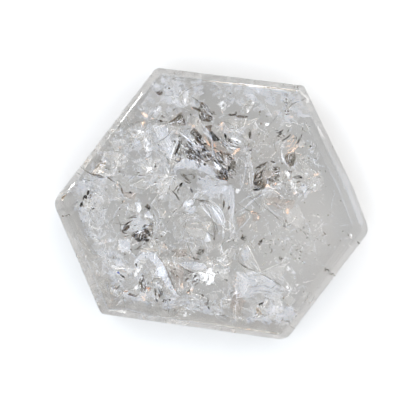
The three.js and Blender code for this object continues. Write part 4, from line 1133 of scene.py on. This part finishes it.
# Brown places: the middle, the width and height, the turn, how many shards, their sizes.
STAINED = [
    ((-12.6, 20.6), (3.2, 0.5), -14, 9, (0.3, 0.8)),
    ((-11.0, 28.7), (1.0, 0.3), -15, 2, (0.4, 0.8)),
    ((-12.0, 21.6), (0.8, 0.6), 0, 3, (0.3, 0.6)),
    ((-7.6, -12.4), (3.4, 1.2), 0, 8, (0.3, 0.7)),
    ((-11.6, -24.2), (2.6, 0.5), 5, 5, (0.3, 0.7)),
    ((-24.4, -20.6), (1.4, 0.5), 20, 4, (0.3, 0.7)),
    ((-14.0, 5.0), (0.9, 0.9), 0, 4, (0.3, 0.7)),
    ((-13.6, 3.6), (0.6, 1.2), 0, 4, (0.3, 0.7)),
    ((-35.3, -2.8), (2.0, 0.4), 0, 5, (0.3, 0.8)),
    ((-22.2, 0.5), (1.0, 0.5), 0, 4, (0.3, 0.6)),
    ((-24.9, 6.4), (1.0, 1.0), 0, 5, (0.3, 0.7)),
    ((-26.2, -12.0), (0.7, 0.35), 35, 4, (0.3, 0.6)),
    ((12.1, 22.6), (0.5, 1.5), -20, 5, (0.3, 0.8)),
    ((18.6, 29.3), (2.6, 0.8), 0, 9, (0.3, 0.7)),
    ((18.4, 25.0), (1.2, 2.6), 25, 9, (0.3, 0.7)),
    ((19.1, 23.0), (0.5, 1.2), 25, 4, (0.3, 0.7)),
    ((28.3, -16.3), (1.4, 1.0), 0, 6, (0.3, 0.7)),
    ((20.6, -10.6), (2.0, 5.0), 20, 9, (0.2, 0.5)),
    ((17.9, -11.2), (0.5, 1.6), 20, 5, (0.3, 0.6)),
    ((17.2, -13.6), (0.5, 1.4), 20, 7, (0.3, 0.7)),
    ((22.0, -6.6), (0.6, 0.9), 0, 5, (0.2, 0.5)),
    ((24.1, -4.2), (1.4, 0.6), -30, 3, (0.2, 0.5)),
    ((25.6, -8.6), (1.0, 2.4), 20, 4, (0.2, 0.5)),
    ((23.8, -8.5), (0.4, 0.8), -30, 3, (0.2, 0.5)),
    ((22.0, -11.8), (0.5, 1.2), 20, 4, (0.2, 0.5)),
    ((29.0, -10.2), (1.2, 0.6), 0, 5, (0.2, 0.5)),
    ((22.9, -14.6), (0.4, 0.8), 30, 3, (0.2, 0.5)),
    ((12.1, -9.7), (0.6, 1.6), -25, 7, (0.3, 0.6)),
    ((18.2, -4.6), (0.9, 1.8), 0, 6, (0.3, 0.7)),
    ((-1.4, -24.4), (1.8, 2.4), 0, 7, (0.3, 0.6)),
    ((9.2, -28.6), (0.7, 0.5), 0, 3, (0.3, 0.5)),
    ((13.0, -27.8), (1.2, 0.5), -25, 3, (0.3, 0.6)),
    ((3.6, -18.9), (0.8, 0.6), -45, 3, (0.3, 0.6)),
    ((-37.0, -4.4), (0.6, 0.3), 60, 2, (0.3, 0.6)),
]

# Nearly black places, in the same order.
BLACK = [
    ((-20.0, 2.7), (0.9, 0.4), 0, 3, (0.4, 0.7)),
    ((18.1, -5.7), (0.8, 0.4), 0, 3, (0.3, 0.6)),
]

# Blue-white glints that mirror the window, in the same order.
GLINTS = [
    ((-0.3, -18.0), (2.2, 3.8), 0, 60, (0.4, 1.2)),
    ((3.4, -17.4), (2.6, 3.2), 0, 14, (0.2, 0.5)),
    ((-0.4, -17.7), (5.0, 5.6), 0, 22, (0.3, 0.7)),
    ((2.5, -13.6), (2.4, 1.4), 35, 5, (0.4, 0.9)),
    ((3.0, -14.8), (4.0, 2.4), 10, 12, (0.2, 0.5)),
    ((2.8, -16.6), (3.4, 1.6), 0, 9, (0.2, 0.6)),
    ((-3.0, -15.4), (3.8, 1.0), 0, 8, (0.2, 0.6)),
    ((-3.4, -17.6), (2.4, 2.2), 0, 10, (0.3, 0.8)),
    ((-18.2, -16.9), (0.9, 3.4), -40, 9, (0.6, 1.4)),
    ((-18.8, -21.0), (0.6, 1.8), -25, 5, (0.4, 1.0)),
    ((-24.0, -15.8), (1.4, 0.9), 0, 5, (0.4, 1.0)),
    ((-15.7, -3.2), (1.8, 1.6), -40, 5, (0.5, 1.2)),
    ((-17.9, -0.6), (1.2, 2.6), 10, 8, (0.4, 1.1)),
    ((-15.4, 8.4), (1.6, 1.4), 0, 12, (0.4, 1.2)),
    ((-10.9, 7.6), (1.4, 3.0), 10, 12, (0.4, 1.1)),
    ((-15.9, 14.0), (1.1, 4.0), 0, 14, (0.4, 1.1)),
    ((-17.2, 17.8), (1.4, 1.4), 0, 7, (0.5, 1.2)),
    ((-17.3, 23.7), (2.2, 0.9), -15, 7, (0.4, 1.2)),
    ((-14.6, 23.0), (1.4, 0.5), 10, 3, (0.3, 0.8)),
    ((-14.6, 30.6), (0.7, 0.5), 0, 2, (0.3, 0.6)),
    ((-6.6, 26.6), (1.8, 2.4), 0, 9, (0.3, 0.9)),
    ((-6.4, 25.4), (0.7, 0.8), 0, 2, (0.4, 0.8)),
    ((2.8, 24.3), (3.2, 2.0), 0, 20, (0.4, 1.1)),
    ((2.4, 26.2), (1.6, 0.6), 30, 3, (0.3, 0.7)),
    ((9.0, 23.1), (1.6, 1.2), 40, 8, (0.4, 1.0)),
    ((10.2, 24.6), (0.45, 1.7), -30, 5, (0.4, 1.0)),
    ((8.8, 27.2), (0.6, 1.2), -10, 2, (0.3, 0.7)),
    ((13.5, 19.9), (2.4, 0.9), 10, 9, (0.3, 0.9)),
    ((-6.0, -0.2), (2.6, 1.4), 25, 12, (0.4, 1.1)),
    ((-1.4, 15.0), (1.0, 0.7), 0, 4, (0.4, 0.9)),
    ((1.9, 9.0), (1.2, 1.6), 30, 8, (0.3, 0.9)),
    ((6.2, 15.9), (3.0, 0.8), -20, 7, (0.4, 1.1)),
    ((18.8, 7.6), (1.2, 1.6), 0, 8, (0.5, 1.2)),
    ((20.2, 4.6), (1.4, 2.6), 15, 10, (0.3, 0.9)),
    ((17.2, 13.6), (2.0, 3.4), 10, 9, (0.3, 0.7)),
    ((6.4, 3.1), (1.1, 1.0), 0, 5, (0.4, 1.0)),
    ((8.0, -22.0), (0.6, 0.6), 0, 2, (0.3, 0.6)),
    ((7.6, -19.0), (2.2, 3.0), 30, 9, (0.3, 1.0)),
    ((6.1, -21.6), (0.5, 2.2), 0, 4, (0.3, 0.8)),
    ((20.8, -21.8), (4.6, 5.4), 0, 20, (0.3, 0.9)),
    ((17.0, -25.0), (1.4, 2.0), 0, 6, (0.3, 0.8)),
    ((19.4, -16.6), (2.0, 1.2), -30, 7, (0.3, 0.9)),
    ((6.4, -9.0), (0.6, 0.6), 0, 3, (0.3, 0.6)),
    ((7.1, -11.3), (0.9, 0.7), 0, 4, (0.3, 0.8)),
    ((26.2, -3.0), (1.6, 0.6), 0, 5, (0.3, 0.8)),
    ((27.0, -5.2), (0.5, 0.4), 0, 2, (0.3, 0.5)),
    ((-6.4, -27.4), (2.2, 1.6), 0, 8, (0.3, 1.0)),
    ((-7.0, -29.3), (1.4, 0.5), 0, 3, (0.3, 0.6)),
    ((4.6, -29.3), (1.6, 0.5), 0, 4, (0.3, 0.6)),
    ((-26.0, 9.8), (1.4, 0.8), 20, 5, (0.3, 0.8)),
    ((-24.6, 4.4), (1.6, 1.2), 0, 6, (0.3, 0.8)),
    ((-33.5, -8.0), (0.9, 0.3), 35, 2, (0.4, 0.8)),
    ((-27.0, -9.4), (2.4, 1.4), 0, 7, (0.3, 0.9)),
    ((-28.2, -17.2), (0.5, 0.9), 0, 2, (0.3, 0.7)),
    ((-23.3, -13.0), (0.6, 0.5), 40, 2, (0.3, 0.6)),
    ((-21.6, -10.8), (1.6, 1.2), 0, 5, (0.3, 0.7)),
    ((-19.0, -9.9), (1.8, 0.5), 15, 4, (0.3, 0.8)),
    ((-22.6, 1.2), (1.0, 0.8), 0, 4, (0.3, 0.7)),
    ((-10.4, -14.6), (1.0, 1.6), 0, 5, (0.3, 0.7)),
    ((-14.6, -10.6), (1.6, 0.6), 25, 4, (0.3, 0.8)),
    ((-1.7, 31.9), (0.5, 0.4), 0, 2, (0.2, 0.5)),
    ((3.4, 31.0), (2.0, 0.5), 0, 3, (0.2, 0.5)),
    ((-6.9, -3.4), (6.0, 3.0), 0, 8, (0.2, 0.5)),
    ((-8.0, 3.0), (3.0, 2.4), 0, 7, (0.2, 0.6)),
    ((34.7, -8.0), (0.5, 1.2), 0, 3, (0.3, 0.7)),
]

# Peach glints of the warm lamp, in the same order.
EMBERS = [
    ((-16.4, 22.1), (1.9, 1.2), -20, 12, (0.4, 1.1)),
    ((-17.0, 19.9), (1.0, 1.4), 0, 8, (0.4, 0.9)),
    ((-15.0, 21.2), (1.0, 0.8), 0, 4, (0.3, 0.7)),
    ((-16.4, 29.4), (0.5, 1.4), -30, 4, (0.3, 0.7)),
    ((2.2, 18.8), (1.2, 2.6), -20, 12, (0.4, 1.1)),
    ((2.6, 22.4), (0.6, 0.7), 0, 3, (0.3, 0.6)),
    ((-4.6, 19.6), (1.6, 0.8), 0, 4, (0.3, 0.7)),
    ((-8.6, 17.4), (0.8, 0.8), 0, 3, (0.3, 0.6)),
    ((5.9, 12.9), (2.2, 1.2), 30, 14, (0.4, 1.0)),
    ((5.4, 11.4), (1.0, 1.6), -20, 6, (0.3, 0.8)),
    ((4.8, 14.4), (2.8, 0.8), -20, 6, (0.3, 0.8)),
    ((3.2, 6.0), (1.2, 1.0), 0, 4, (0.2, 0.5)),
    ((19.6, 15.2), (1.3, 3.2), -32, 8, (0.3, 0.8)),
    ((20.9, 13.9), (0.8, 2.8), -48, 5, (0.3, 0.8)),
    ((18.9, 12.4), (0.7, 1.9), -60, 3, (0.3, 0.7)),
    ((14.6, 4.7), (3.8, 0.7), 18, 16, (0.4, 1.0)),
    ((20.0, 6.2), (0.7, 1.0), 0, 4, (0.3, 0.7)),
    ((21.0, 2.8), (1.0, 0.9), 0, 5, (0.3, 0.7)),
    ((26.1, 7.4), (1.1, 0.6), 10, 6, (0.4, 0.9)),
    ((24.2, 6.4), (3.0, 0.9), 20, 5, (0.3, 0.7)),
    ((20.3, 1.8), (0.5, 0.6), 0, 2, (0.3, 0.6)),
    ((8.6, 4.9), (0.7, 0.5), 0, 3, (0.3, 0.7)),
    ((10.2, -2.2), (1.8, 0.8), -15, 8, (0.3, 0.7)),
    ((11.6, -3.2), (1.4, 0.8), -45, 3, (0.3, 0.7)),
    ((20.0, 21.7), (0.8, 0.6), 0, 3, (0.3, 0.6)),
    ((16.1, 22.5), (1.2, 0.5), 10, 3, (0.3, 0.7)),
    ((27.3, 19.3), (0.5, 0.4), 0, 2, (0.2, 0.5)),
    ((31.6, -16.1), (1.5, 0.6), -20, 6, (0.3, 0.7)),
    ((37.0, -7.6), (0.6, 0.5), 0, 2, (0.3, 0.6)),
    ((34.8, -8.4), (0.4, 0.6), 0, 2, (0.3, 0.5)),
    ((-9.2, -11.2), (0.9, 0.8), 30, 5, (0.3, 0.8)),
    ((-5.4, -13.5), (0.6, 0.6), 0, 3, (0.3, 0.6)),
    ((-5.6, -21.8), (1.4, 0.6), 35, 6, (0.3, 0.9)),
    ((-7.4, -20.4), (0.9, 3.2), 20, 9, (0.4, 1.0)),
    ((-4.4, -21.4), (1.4, 1.0), 0, 4, (0.3, 0.7)),
    ((-15.6, -21.0), (1.4, 0.7), -10, 7, (0.3, 0.9)),
    ((-21.2, -21.7), (2.0, 0.5), -8, 8, (0.3, 0.8)),
    ((-17.2, -28.0), (0.9, 0.5), 0, 4, (0.3, 0.7)),
    ((-16.6, -22.6), (1.6, 2.6), 0, 6, (0.3, 0.8)),
    ((-11.8, -10.6), (2.2, 1.2), 0, 7, (0.3, 0.7)),
    ((-12.2, 4.8), (0.8, 1.0), 0, 4, (0.3, 0.7)),
    ((-22.0, 0.6), (0.9, 0.5), 0, 3, (0.3, 0.6)),
    ((-26.4, -9.4), (1.6, 1.0), 0, 4, (0.3, 0.7)),
    ((-25.4, 6.8), (0.6, 0.6), 0, 3, (0.2, 0.5)),
    ((-14.6, -19.6), (1.0, 0.6), 0, 3, (0.3, 0.6)),
]

# Bursts of thin rays that mirror the window: the middle, the inner and outer reach, how many.
RAYS = [
    ((-0.4, -17.9), 0.8, 3.2, 70),
    ((-3.4, -18.6), 0.3, 2.2, 16),
    ((2.8, -14.4), 0.2, 1.8, 9),
    ((2.8, 24.3), 0.2, 1.8, 16),
]

# Places full of slanting slivers: the outline, the way they run, how many.
SLIVERS = [
    ([(-6.6, 16.6), (-4.4, 17.8), (-1.6, 15.4), (-0.4, 12.6), (-2.6, 10.2), (-5, 11.4)], -48, 60),
    ([(-6.6, 14.4), (-4.4, 14), (-2.0, 11), (-3, 9.4), (-5.6, 10.8), (-6.8, 12.6)], -40, 50),
    ([(-9.2, 15.4), (-7.4, 16), (-6.2, 13), (-7, 10.4), (-9.4, 10.6)], -75, 22),
    ([(-2.6, 12.4), (0.6, 12.8), (3.6, 13), (6, 12.2), (6, 8.2), (4.2, 6), (1.4, 6.6),
      (0.6, 10)], -52, 70),
    ([(3.4, 16.6), (7.4, 15.4), (6.8, 13), (2.8, 14)], -18, 22),
    ([(-10.6, 19.8), (-7.4, 22.4), (-6.6, 19.8)], 30, 12),
    ([(-3.2, 24.8), (-0.8, 24.4), (0.4, 21), (-2.8, 20.6)], -60, 26),
    ([(10.4, 3.4), (13.2, 3.2), (13, 5.8), (11.6, 9.4), (10.6, 8)], 60, 12),
    ([(13, 5), (16.8, 5.4), (16.8, 9), (15.4, 10.4), (15.4, 8.2)], 20, 7),
    ([(18.2, 12.2), (20.8, 12), (20.2, 9.4), (18.6, 9.8)], 60, 4),
    ([(-19.8, -7.6), (-17, -6.4), (-15, -4.4), (-14.6, -7.6), (-17, -9.2), (-19.0, -8.4)], 35, 30),
    ([(-7.4, -17), (-4.4, -17), (-3.0, -19.4), (-5.4, -21.6)], 45, 16),
    ([(-18.4, -18.6), (-15.6, -18), (-15.4, -22), (-18, -22.6)], 70, 10),
]

# The general crackle: an outline, how crowded it is with large flakes and with small specks,
# and the flakes' sizes.
Patch = namedtuple("Patch", "outline flakes specks size")
CRACKLE = [
    Patch([(-34, 0), (-25, 18), (-15, 26), (-8, 21), (-8, 8), (-12, 0)], 64, 400, (1.5, 7)),
    Patch([(-34, 0), (-12, 0), (-9, -12), (-9, -26), (-26, -25)], 74, 420, (1.5, 6)),
    Patch([(-12, 6), (6, 5), (6, -14), (-10, -13)], 28, 190, (1.5, 6)),
    Patch([(-10, -13), (6, -13), (6, -29), (-12, -27)], 36, 150, (1.5, 6)),
    Patch([(-8, 22), (8, 22), (10, 4), (-10, 9)], 50, 240, (1.2, 5)),
    Patch([(-14, 32), (22, 28), (20, 16), (-10, 20)], 14, 90, (1.2, 5)),
    Patch([(8, 20), (24, 20), (28, 4), (20, 1), (9, 2)], 44, 440, (1.2, 5)),
    Patch([(6, 1), (20, 0), (20, -16), (6, -16)], 8, 150, (2, 5)),
    Patch([(16, -2), (28, -3), (29, -9), (23, -15), (17, -14)], 4, 130, (1.2, 3)),
    Patch([(12, 1), (32, 2), (35, -8), (25, -20), (12, -16)], 2, 90, (1.2, 3)),
    Patch([(5, -16), (24, -17), (24, -24), (18, -30), (5, -29)], 20, 90, (1.2, 4)),
    Patch([(22, 26), (27, 18), (34, 4), (37, -7), (28, -18), (25, -14), (28, 4),
           (22, 14)], 2, 50, (1, 2.5)),
]

# How many of a patch's flakes or specks there are to each crack of a kind.
FLAKES_PER_CURVED = 2
FLAKES_PER_PANE = 3
SPECKS_PER_FINE = 4
SPECKS_PER_STAIN = 6
SPECKS_PER_STAINED_STROKE = 12

# ---------------------------------------------------------------- the stone's pieces

VEIL_CELLS = 40  # how finely a veil is meshed
# How far these cracks lean, and how much the way they lean turns from each to the next.
SMOKY_TILT, SMOKY_TURN = 6, 47
SHARD_TILT, SHARD_TURN = 8, 70
PLATE_DEPTH = 14.5
RAY_DEPTH = 15
BRIGHT_SHARE = 0.75  # a shining edge looks wider than it is, so it is made this much narrower
DARK_SHARE = 0.9  # and so is a grey one


def veils(name, table, material, **usual):
    batch = bmesh.new()
    for seed, values in enumerate(table):
        values = usual | dict(cells=VEIL_CELLS, seed=seed) | values
        askew = Vector(values.pop("askew"))
        crack(batch, lean=facing(KEY, centre(values["outline"])) + askew, **values)
    piece(name, batch, material)


def smoky_panes(material):
    batch = bmesh.new()
    for seed, values in enumerate(SMOKY):
        lean = leaning(SMOKY_TILT, SMOKY_TURN * seed)
        crack(batch, lean=lean, dome=0.3, fray=0.3, seed=seed, **values)
    piece("smoky_cracks", batch, material)


def stain_and_glint_films(stain, material):
    """The shards and streaks of one film: a stain, except for the painted glint."""
    batch = bmesh.new()
    for seed, (kind, z, outline) in enumerate(SHARDS):
        if kind == stain:
            lean = leaning(SHARD_TILT, SHARD_TURN * seed)
            crack(batch, outline, z, lean, crush=0.04, grain=0.5, fray=0.3, lace=0.05, cells=8,
                  faceted=True, seed=seed)
    draw = random.Random(31)
    for kind, width, path in STREAKS:
        depth = draw.uniform(12.5, 14.5)
        lean = leaning(draw.uniform(4, 18), draw.uniform(0, 360))
        if kind == stain:
            seam(batch, path, width, depth, slope=lean)
    piece(stain + "_stain", batch, material)


def plates(material):
    batch = bmesh.new()
    for seed, (light, outline) in enumerate(PLATES):
        crack(batch, outline, PLATE_DEPTH, lean=facing(light, centre(outline)), crush=0.02,
              grain=0.6, cells=12, rim=0.05, seed=seed)
    for width, z, path in BANDS:
        seam(batch, path, width, z, slope=facing(KEY, curve_point(path, 0.5)))
    piece("bright_plates", batch, material)


def rays(material):
    batch = bmesh.new()
    draw = random.Random(61)
    for middle, inner, outer, count in RAYS:
        for _ in range(count):
            run = math.radians(draw.uniform(0, 360))
            way = Vector((math.cos(run), math.sin(run)))
            start = Vector(middle) + way * inner
            end = Vector(middle) + way * draw.uniform(inner, outer)
            bend = way.orthogonal() * draw.uniform(-0.15, 0.15)
            slope = random_slope(draw, end, WINDOW)
            seam(batch, [start, (start + end) / 2 + bend, end], draw.uniform(0.12, 0.3), RAY_DEPTH,
                 slope=slope, steps=2)
    piece("burst_rays", batch, material)


def bright_lines(material):
    batch = bmesh.new()
    for light, width, z, path in BRIGHT_LINES:
        seam(batch, path, width * BRIGHT_SHARE, z, slope=facing(light, curve_point(path, 0.5)))
    piece("bright_crack_edges", batch, material)


def dark_lines(material):
    batch = bmesh.new()
    for width, z, path in DARK_LINES:
        seam(batch, path, width * DARK_SHARE, z)
    piece("dark_crack_edges", batch, material)


def clusters(name, table, material, seed, **values):
    """Strews shards over each place of a table."""
    batch = bmesh.new()
    draw = random.Random(seed)
    for middle, (width, height), turn, count, size in table:
        outline = blob(middle, width, height, turn, draw.random(), jag=0.15)
        run = turn if width >= height else turn + 90
        scatter(batch, draw, outline, count, size, turn=run, spread=45, **values)
    piece(name, batch, material)


def slivers(name, material, share, seed, **values):
    batch = bmesh.new()
    draw = random.Random(seed)
    for outline, turn, count in SLIVERS:
        strokes(batch, draw, outline, round(count * share), turn=turn, **values)
    piece(name, batch, material)


def crackle(material):
    """Curved flakes all through the stone."""
    batch = bmesh.new()
    draw = random.Random(7)
    for patch in CRACKLE:
        for _ in range(patch.flakes // FLAKES_PER_CURVED):
            spot = strewn(draw, patch.outline).to_3d()
            spot.z = draw.uniform(2, THICK - 2)
            tilt = math.radians(draw.gauss(0, 16))
            flake(batch, draw, spot, draw.uniform(*patch.size), tilt, bend=0.6)
    piece("crackle_flakes", batch, material)


def panes(material):
    """Broad, nearly level cracks, whose straight edges show as faint steps of light."""
    batch = bmesh.new()
    draw = random.Random(17)
    for patch in CRACKLE:
        for _ in range(patch.flakes // FLAKES_PER_PANE):
            spot = strewn(draw, patch.outline).to_3d()
            spot.z = draw.uniform(2, THICK - 3)
            size = draw.uniform(3, 9)
            flake(batch, draw, spot, size, math.radians(draw.uniform(5, 15)), bend=0.25)
    piece("crack_panes", batch, material)


def fine_crackle(material):
    batch = bmesh.new()
    draw = random.Random(8)
    dim = dict(light=KEY, askew=0.06)
    for patch in CRACKLE:
        count = patch.specks // SPECKS_PER_FINE
        scatter(batch, draw, patch.outline, count, (0.3, 1.0), z=(4, 15), **dim)
        scatter(batch, draw, patch.outline, count, (0.3, 1.2), slim=(0.15, 0.4), z=(4, 15),
                tilt=(12, 32))
        strokes(batch, draw, patch.outline, count, (0.6, 2.4), (0.15, 0.3), spread=180, z=(4, 15),
                **dim)
    piece("fine_crackle", batch, material)


def sparkle(name, material, share, seed, **values):
    """Tiny flat cracks that mirror a light here and there."""
    batch = bmesh.new()
    draw = random.Random(seed)
    for patch in CRACKLE:
        scatter(batch, draw, patch.outline, round(patch.specks * share), (0.15, 0.5),
                z=(6, 15.5), **values)
    piece(name, batch, material)


def hairlines(name, material, share, seed, **values):
    """Long thin crack edges that run every way."""
    batch = bmesh.new()
    draw = random.Random(seed)
    for patch in CRACKLE:
        strokes(batch, draw, patch.outline, round(patch.flakes * share), (1.2, 5), (0.10, 0.2),
                spread=180, z=(5, 15), **values)
    piece(name, batch, material)


def fine_stains(material):
    batch = bmesh.new()
    draw = random.Random(9)
    for patch in CRACKLE:
        scatter(batch, draw, patch.outline, patch.specks // SPECKS_PER_STAIN, (0.2, 0.6),
                z=(5, 15))
        strokes(batch, draw, patch.outline, patch.specks // SPECKS_PER_STAINED_STROKE,
                (0.4, 1.2), (0.10, 0.2), spread=180, z=(5, 15))
    piece("fine_stains", batch, material)


# ---------------------------------------------------------------- studio
# The studio's lengths are in metres.

FLOOR_REACH = 3
FLOOR_DROP = 0.0001  # keeps the floor just clear of the stone
FLOOR_COLOUR = (0.92, 0.945, 0.96)
FLOOR_GLOW = 0.07  # what the camera sees of the table beyond the light that falls on it
SKY_SEEN = (0.98, 0.98, 0.98)  # the sky that the camera sees
# The sky that the stone sees: the sine of the angle above the horizon, the brightness.
SKY = [(0.0, 1.3), (0.25, 1.3), (0.33, 0.15), (0.50, 0.15), (0.60, 1.5), (0.97, 1.5),
       (0.985, 0.05), (1.0, 0.05)]
PALE_BLUE = (0.60, 0.73, 1.0)
DAYLIGHT = (0.84, 0.90, 1.0)
LAMPLIGHT = (1.0, 0.50, 0.22)
VIEW_MIDDLE = (-0.00083, -0.00108)  # what the view is centred on
VIEW_WIDTH = 0.103  # how much it takes in, at the level of the upper face
SENSOR_WIDTH = 36  # in millimetres, as the lens is
BOUNCES = 40  # how often light may turn on its way through the cracks
SHEER_BOUNCES = 64  # how many crack walls it may cross


def studio_floor():
    bm = bmesh.new()
    bmesh.ops.create_grid(bm, x_segments=1, y_segments=1, size=FLOOR_REACH)
    bmesh.ops.translate(bm, vec=(0, 0, -FLOOR_DROP), verts=bm.verts)
    mesh = bpy.data.meshes.new("studio_floor")
    bm.to_mesh(mesh)
    bm.free()
    material, nodes, links = new_material("pale_table")
    shader = nodes["Principled BSDF"]
    shader.inputs["Base Color"].default_value = (*FLOOR_COLOUR, 1)
    shader.inputs["Roughness"].default_value = 0.8
    shader.inputs["Specular IOR Level"].default_value = 0.1
    shader.inputs["Emission Color"].default_value = (*WHITE, 1)
    seen = nodes.new("ShaderNodeLightPath")
    glow = nodes.new("ShaderNodeMath")
    glow.operation = "MULTIPLY"
    glow.inputs[1].default_value = FLOOR_GLOW
    links.new(seen.outputs["Is Camera Ray"], glow.inputs[0])
    links.new(glow.outputs["Value"], shader.inputs["Emission Strength"])
    mesh.materials.append(material)
    floor = bpy.data.objects.new("studio_floor", mesh)
    bpy.context.scene.collection.objects.link(floor)


def softbox(name, light_place, width, height, brightness, colour=WHITE):
    """A flat light of a given brightness, where 1 looks as bright as white paper."""
    light = bpy.data.lights.new(name, "AREA")
    light.shape = "RECTANGLE"
    light.size = width
    light.size_y = height
    light.energy = brightness * math.pi * width * height
    light.color = colour
    lamp = bpy.data.objects.new(name, light)
    bpy.context.scene.collection.objects.link(lamp)
    lamp.visible_camera = False
    lamp.location = bearing(*light_place) * MM
    lamp.rotation_euler = (-lamp.location).to_track_quat("-Z", "Y").to_euler()


def studio_sky():
    """Pale where the camera sees it; to the stone it has a dark band low down and a dark top."""
    world = bpy.data.worlds.new("studio_sky")
    bpy.context.scene.world = world
    world.use_nodes = True
    nodes, links = world.node_tree.nodes, world.node_tree.links
    way = nodes.new("ShaderNodeTexCoord")
    split = nodes.new("ShaderNodeSeparateXYZ")
    ramp = colour_ramp(nodes, [(height, (grey, grey, grey)) for height, grey in SKY])
    links.new(way.outputs["Generated"], split.inputs["Vector"])
    links.new(split.outputs["Z"], ramp.inputs["Fac"])
    seen = nodes.new("ShaderNodeLightPath")
    blend = nodes.new("ShaderNodeMix")
    blend.data_type = "RGBA"
    links.new(seen.outputs["Is Camera Ray"], blend.inputs["Factor"])
    links.new(ramp.outputs["Color"], blend.inputs[6])
    blend.inputs[7].default_value = (*SKY_SEEN, 1)
    links.new(blend.outputs[2], nodes["Background"].inputs["Color"])


def studio():
    studio_floor()
    studio_sky()
    softbox("key_softbox", KEY, width=0.23, height=0.23, brightness=2.8, colour=PALE_BLUE)
    softbox("window", WINDOW, width=0.15, height=0.15, brightness=6.0, colour=DAYLIGHT)
    softbox("warm_lamp", WARM, width=0.14, height=0.14, brightness=6.6, colour=LAMPLIGHT)
    softbox("left_strip", LEFT_STRIP, width=0.058, height=0.09, brightness=30.0)
    softbox("right_strip", RIGHT_STRIP, width=0.02, height=0.16, brightness=6.0)
    softbox("lower_strip", LOWER_STRIP, width=0.04, height=0.2, brightness=7.0)


def camera():
    lens = bpy.data.cameras.new("camera")
    view = bpy.data.objects.new("camera", lens)
    bpy.context.scene.collection.objects.link(view)
    view.location = (*VIEW_MIDDLE, CAMERA_HEIGHT * MM)
    lens.sensor_width = SENSOR_WIDTH
    lens.lens = SENSOR_WIDTH * (CAMERA_HEIGHT * MM - HIGH[2]) / VIEW_WIDTH
    bpy.context.scene.camera = view


def render_depth():
    scene = bpy.context.scene
    scene.view_settings.view_transform = "Standard"
    scene.cycles.max_bounces = BOUNCES
    scene.cycles.transmission_bounces = BOUNCES
    scene.cycles.glossy_bounces = BOUNCES
    scene.cycles.transparent_max_bounces = SHEER_BOUNCES


# ---------------------------------------------------------------- the part


def build():
    stone_body(polished_quartz())
    clean = crack_wall("clean_crack", roughness=0.02)
    veil_wall = crack_wall("veil_crack", roughness=0.05)
    veils("veil_cracks", VEILS, veil_wall, fray=0.1, rim=0.08)
    veils("haze_cracks", HAZES, veil_wall, fray=0.5)
    smoky_panes(crack_wall("smoky_crack", roughness=0.10, shade=SMOKY_SHADE))
    plates(clean)
    rays(clean)
    bright_lines(clean)
    grey = stain_and_glint_wall("grey_crack", GREYS, least=0.15, most=0.6, grain=0.5)
    dark_lines(grey)
    iron = stain_and_glint_wall("brown_wall", BROWNS, least=0.3, most=1.0, grain=0.25)
    # a nearly black film on the crack walls
    black_film = stain_and_glint_wall("black_wall", BLACKS, least=0.8, most=1.0, grain=0.3)
    stain_and_glint_films("brown", iron)
    stain_and_glint_films("black", black_film)
    stain_and_glint_films("olive", stain_and_glint_wall("olive_wall", OLIVES, least=0.2, most=0.8, grain=0.25))
    stain_and_glint_films("tan", stain_and_glint_wall("tan_wall", TANS, least=0.2, most=0.55, grain=0.3))
    stain_and_glint_films("rust", stain_and_glint_wall("rust_wall", RUSTS, least=0.3, most=0.9, grain=0.4))
    # a painted glint: a blue film that stands in for a flash of light
    stain_and_glint_films("painted_blue_glint", stain_and_glint_wall("painted_glint_wall", PAINTED_GLINT_BLUES, least=0.8, most=1.0, grain=0.4))
    clusters("stained_shards", STAINED, iron, seed=21, slim=(0.2, 0.6), tilt=(0, 36),
             crush=0.1, z=(8, 15))
    clusters("black_shards", BLACK, black_film, seed=22, slim=(0.25, 0.7), tilt=(0, 36),
             crush=0.1, z=(11, 15.5))
    clusters("window_glints", GLINTS, clean, seed=23, slim=(0.3, 0.8), light=WINDOW,
             askew=0.022, z=(11, 15.5))
    clusters("warm_glints", EMBERS, clean, seed=24, slim=(0.25, 0.6), light=WARM,
             askew=0.02, z=(11, 15.5))
    slivers("dark_slivers", iron, share=1.7, seed=41, size=(0.4, 1.4), width=(0.10, 0.22),
            z=(12, 14.8), tilt=(0, 30))
    slivers("bright_slivers", clean, share=0.8, seed=42, size=(0.5, 1.8), width=(0.10, 0.20),
            z=(13, 15), light=WINDOW)
    slivers("pale_slivers", clean, share=0.8, seed=43, size=(0.5, 1.8), width=(0.12, 0.24),
            z=(13, 15), light=KEY)
    crackle(clean)
    panes(clean)
    fine_crackle(clean)
    sparkle("bright_sparkle", clean, share=0.35, seed=71, light=WINDOW, askew=0.02)
    sparkle("pale_sparkle", clean, share=0.5, seed=72, light=KEY)
    hairlines("bright_hairlines", clean, share=0.5, seed=51, light=WINDOW, askew=0.02)
    hairlines("pale_hairlines", clean, share=0.7, seed=52, light=KEY)
    hairlines("grey_hairlines", grey, share=0.3, seed=53, tilt=(0, 20))
    fine_stains(stain_and_glint_wall("fine_stain", BROWNS, least=0.3, most=0.9, grain=0.5))


build()
studio()
camera()
render_depth()
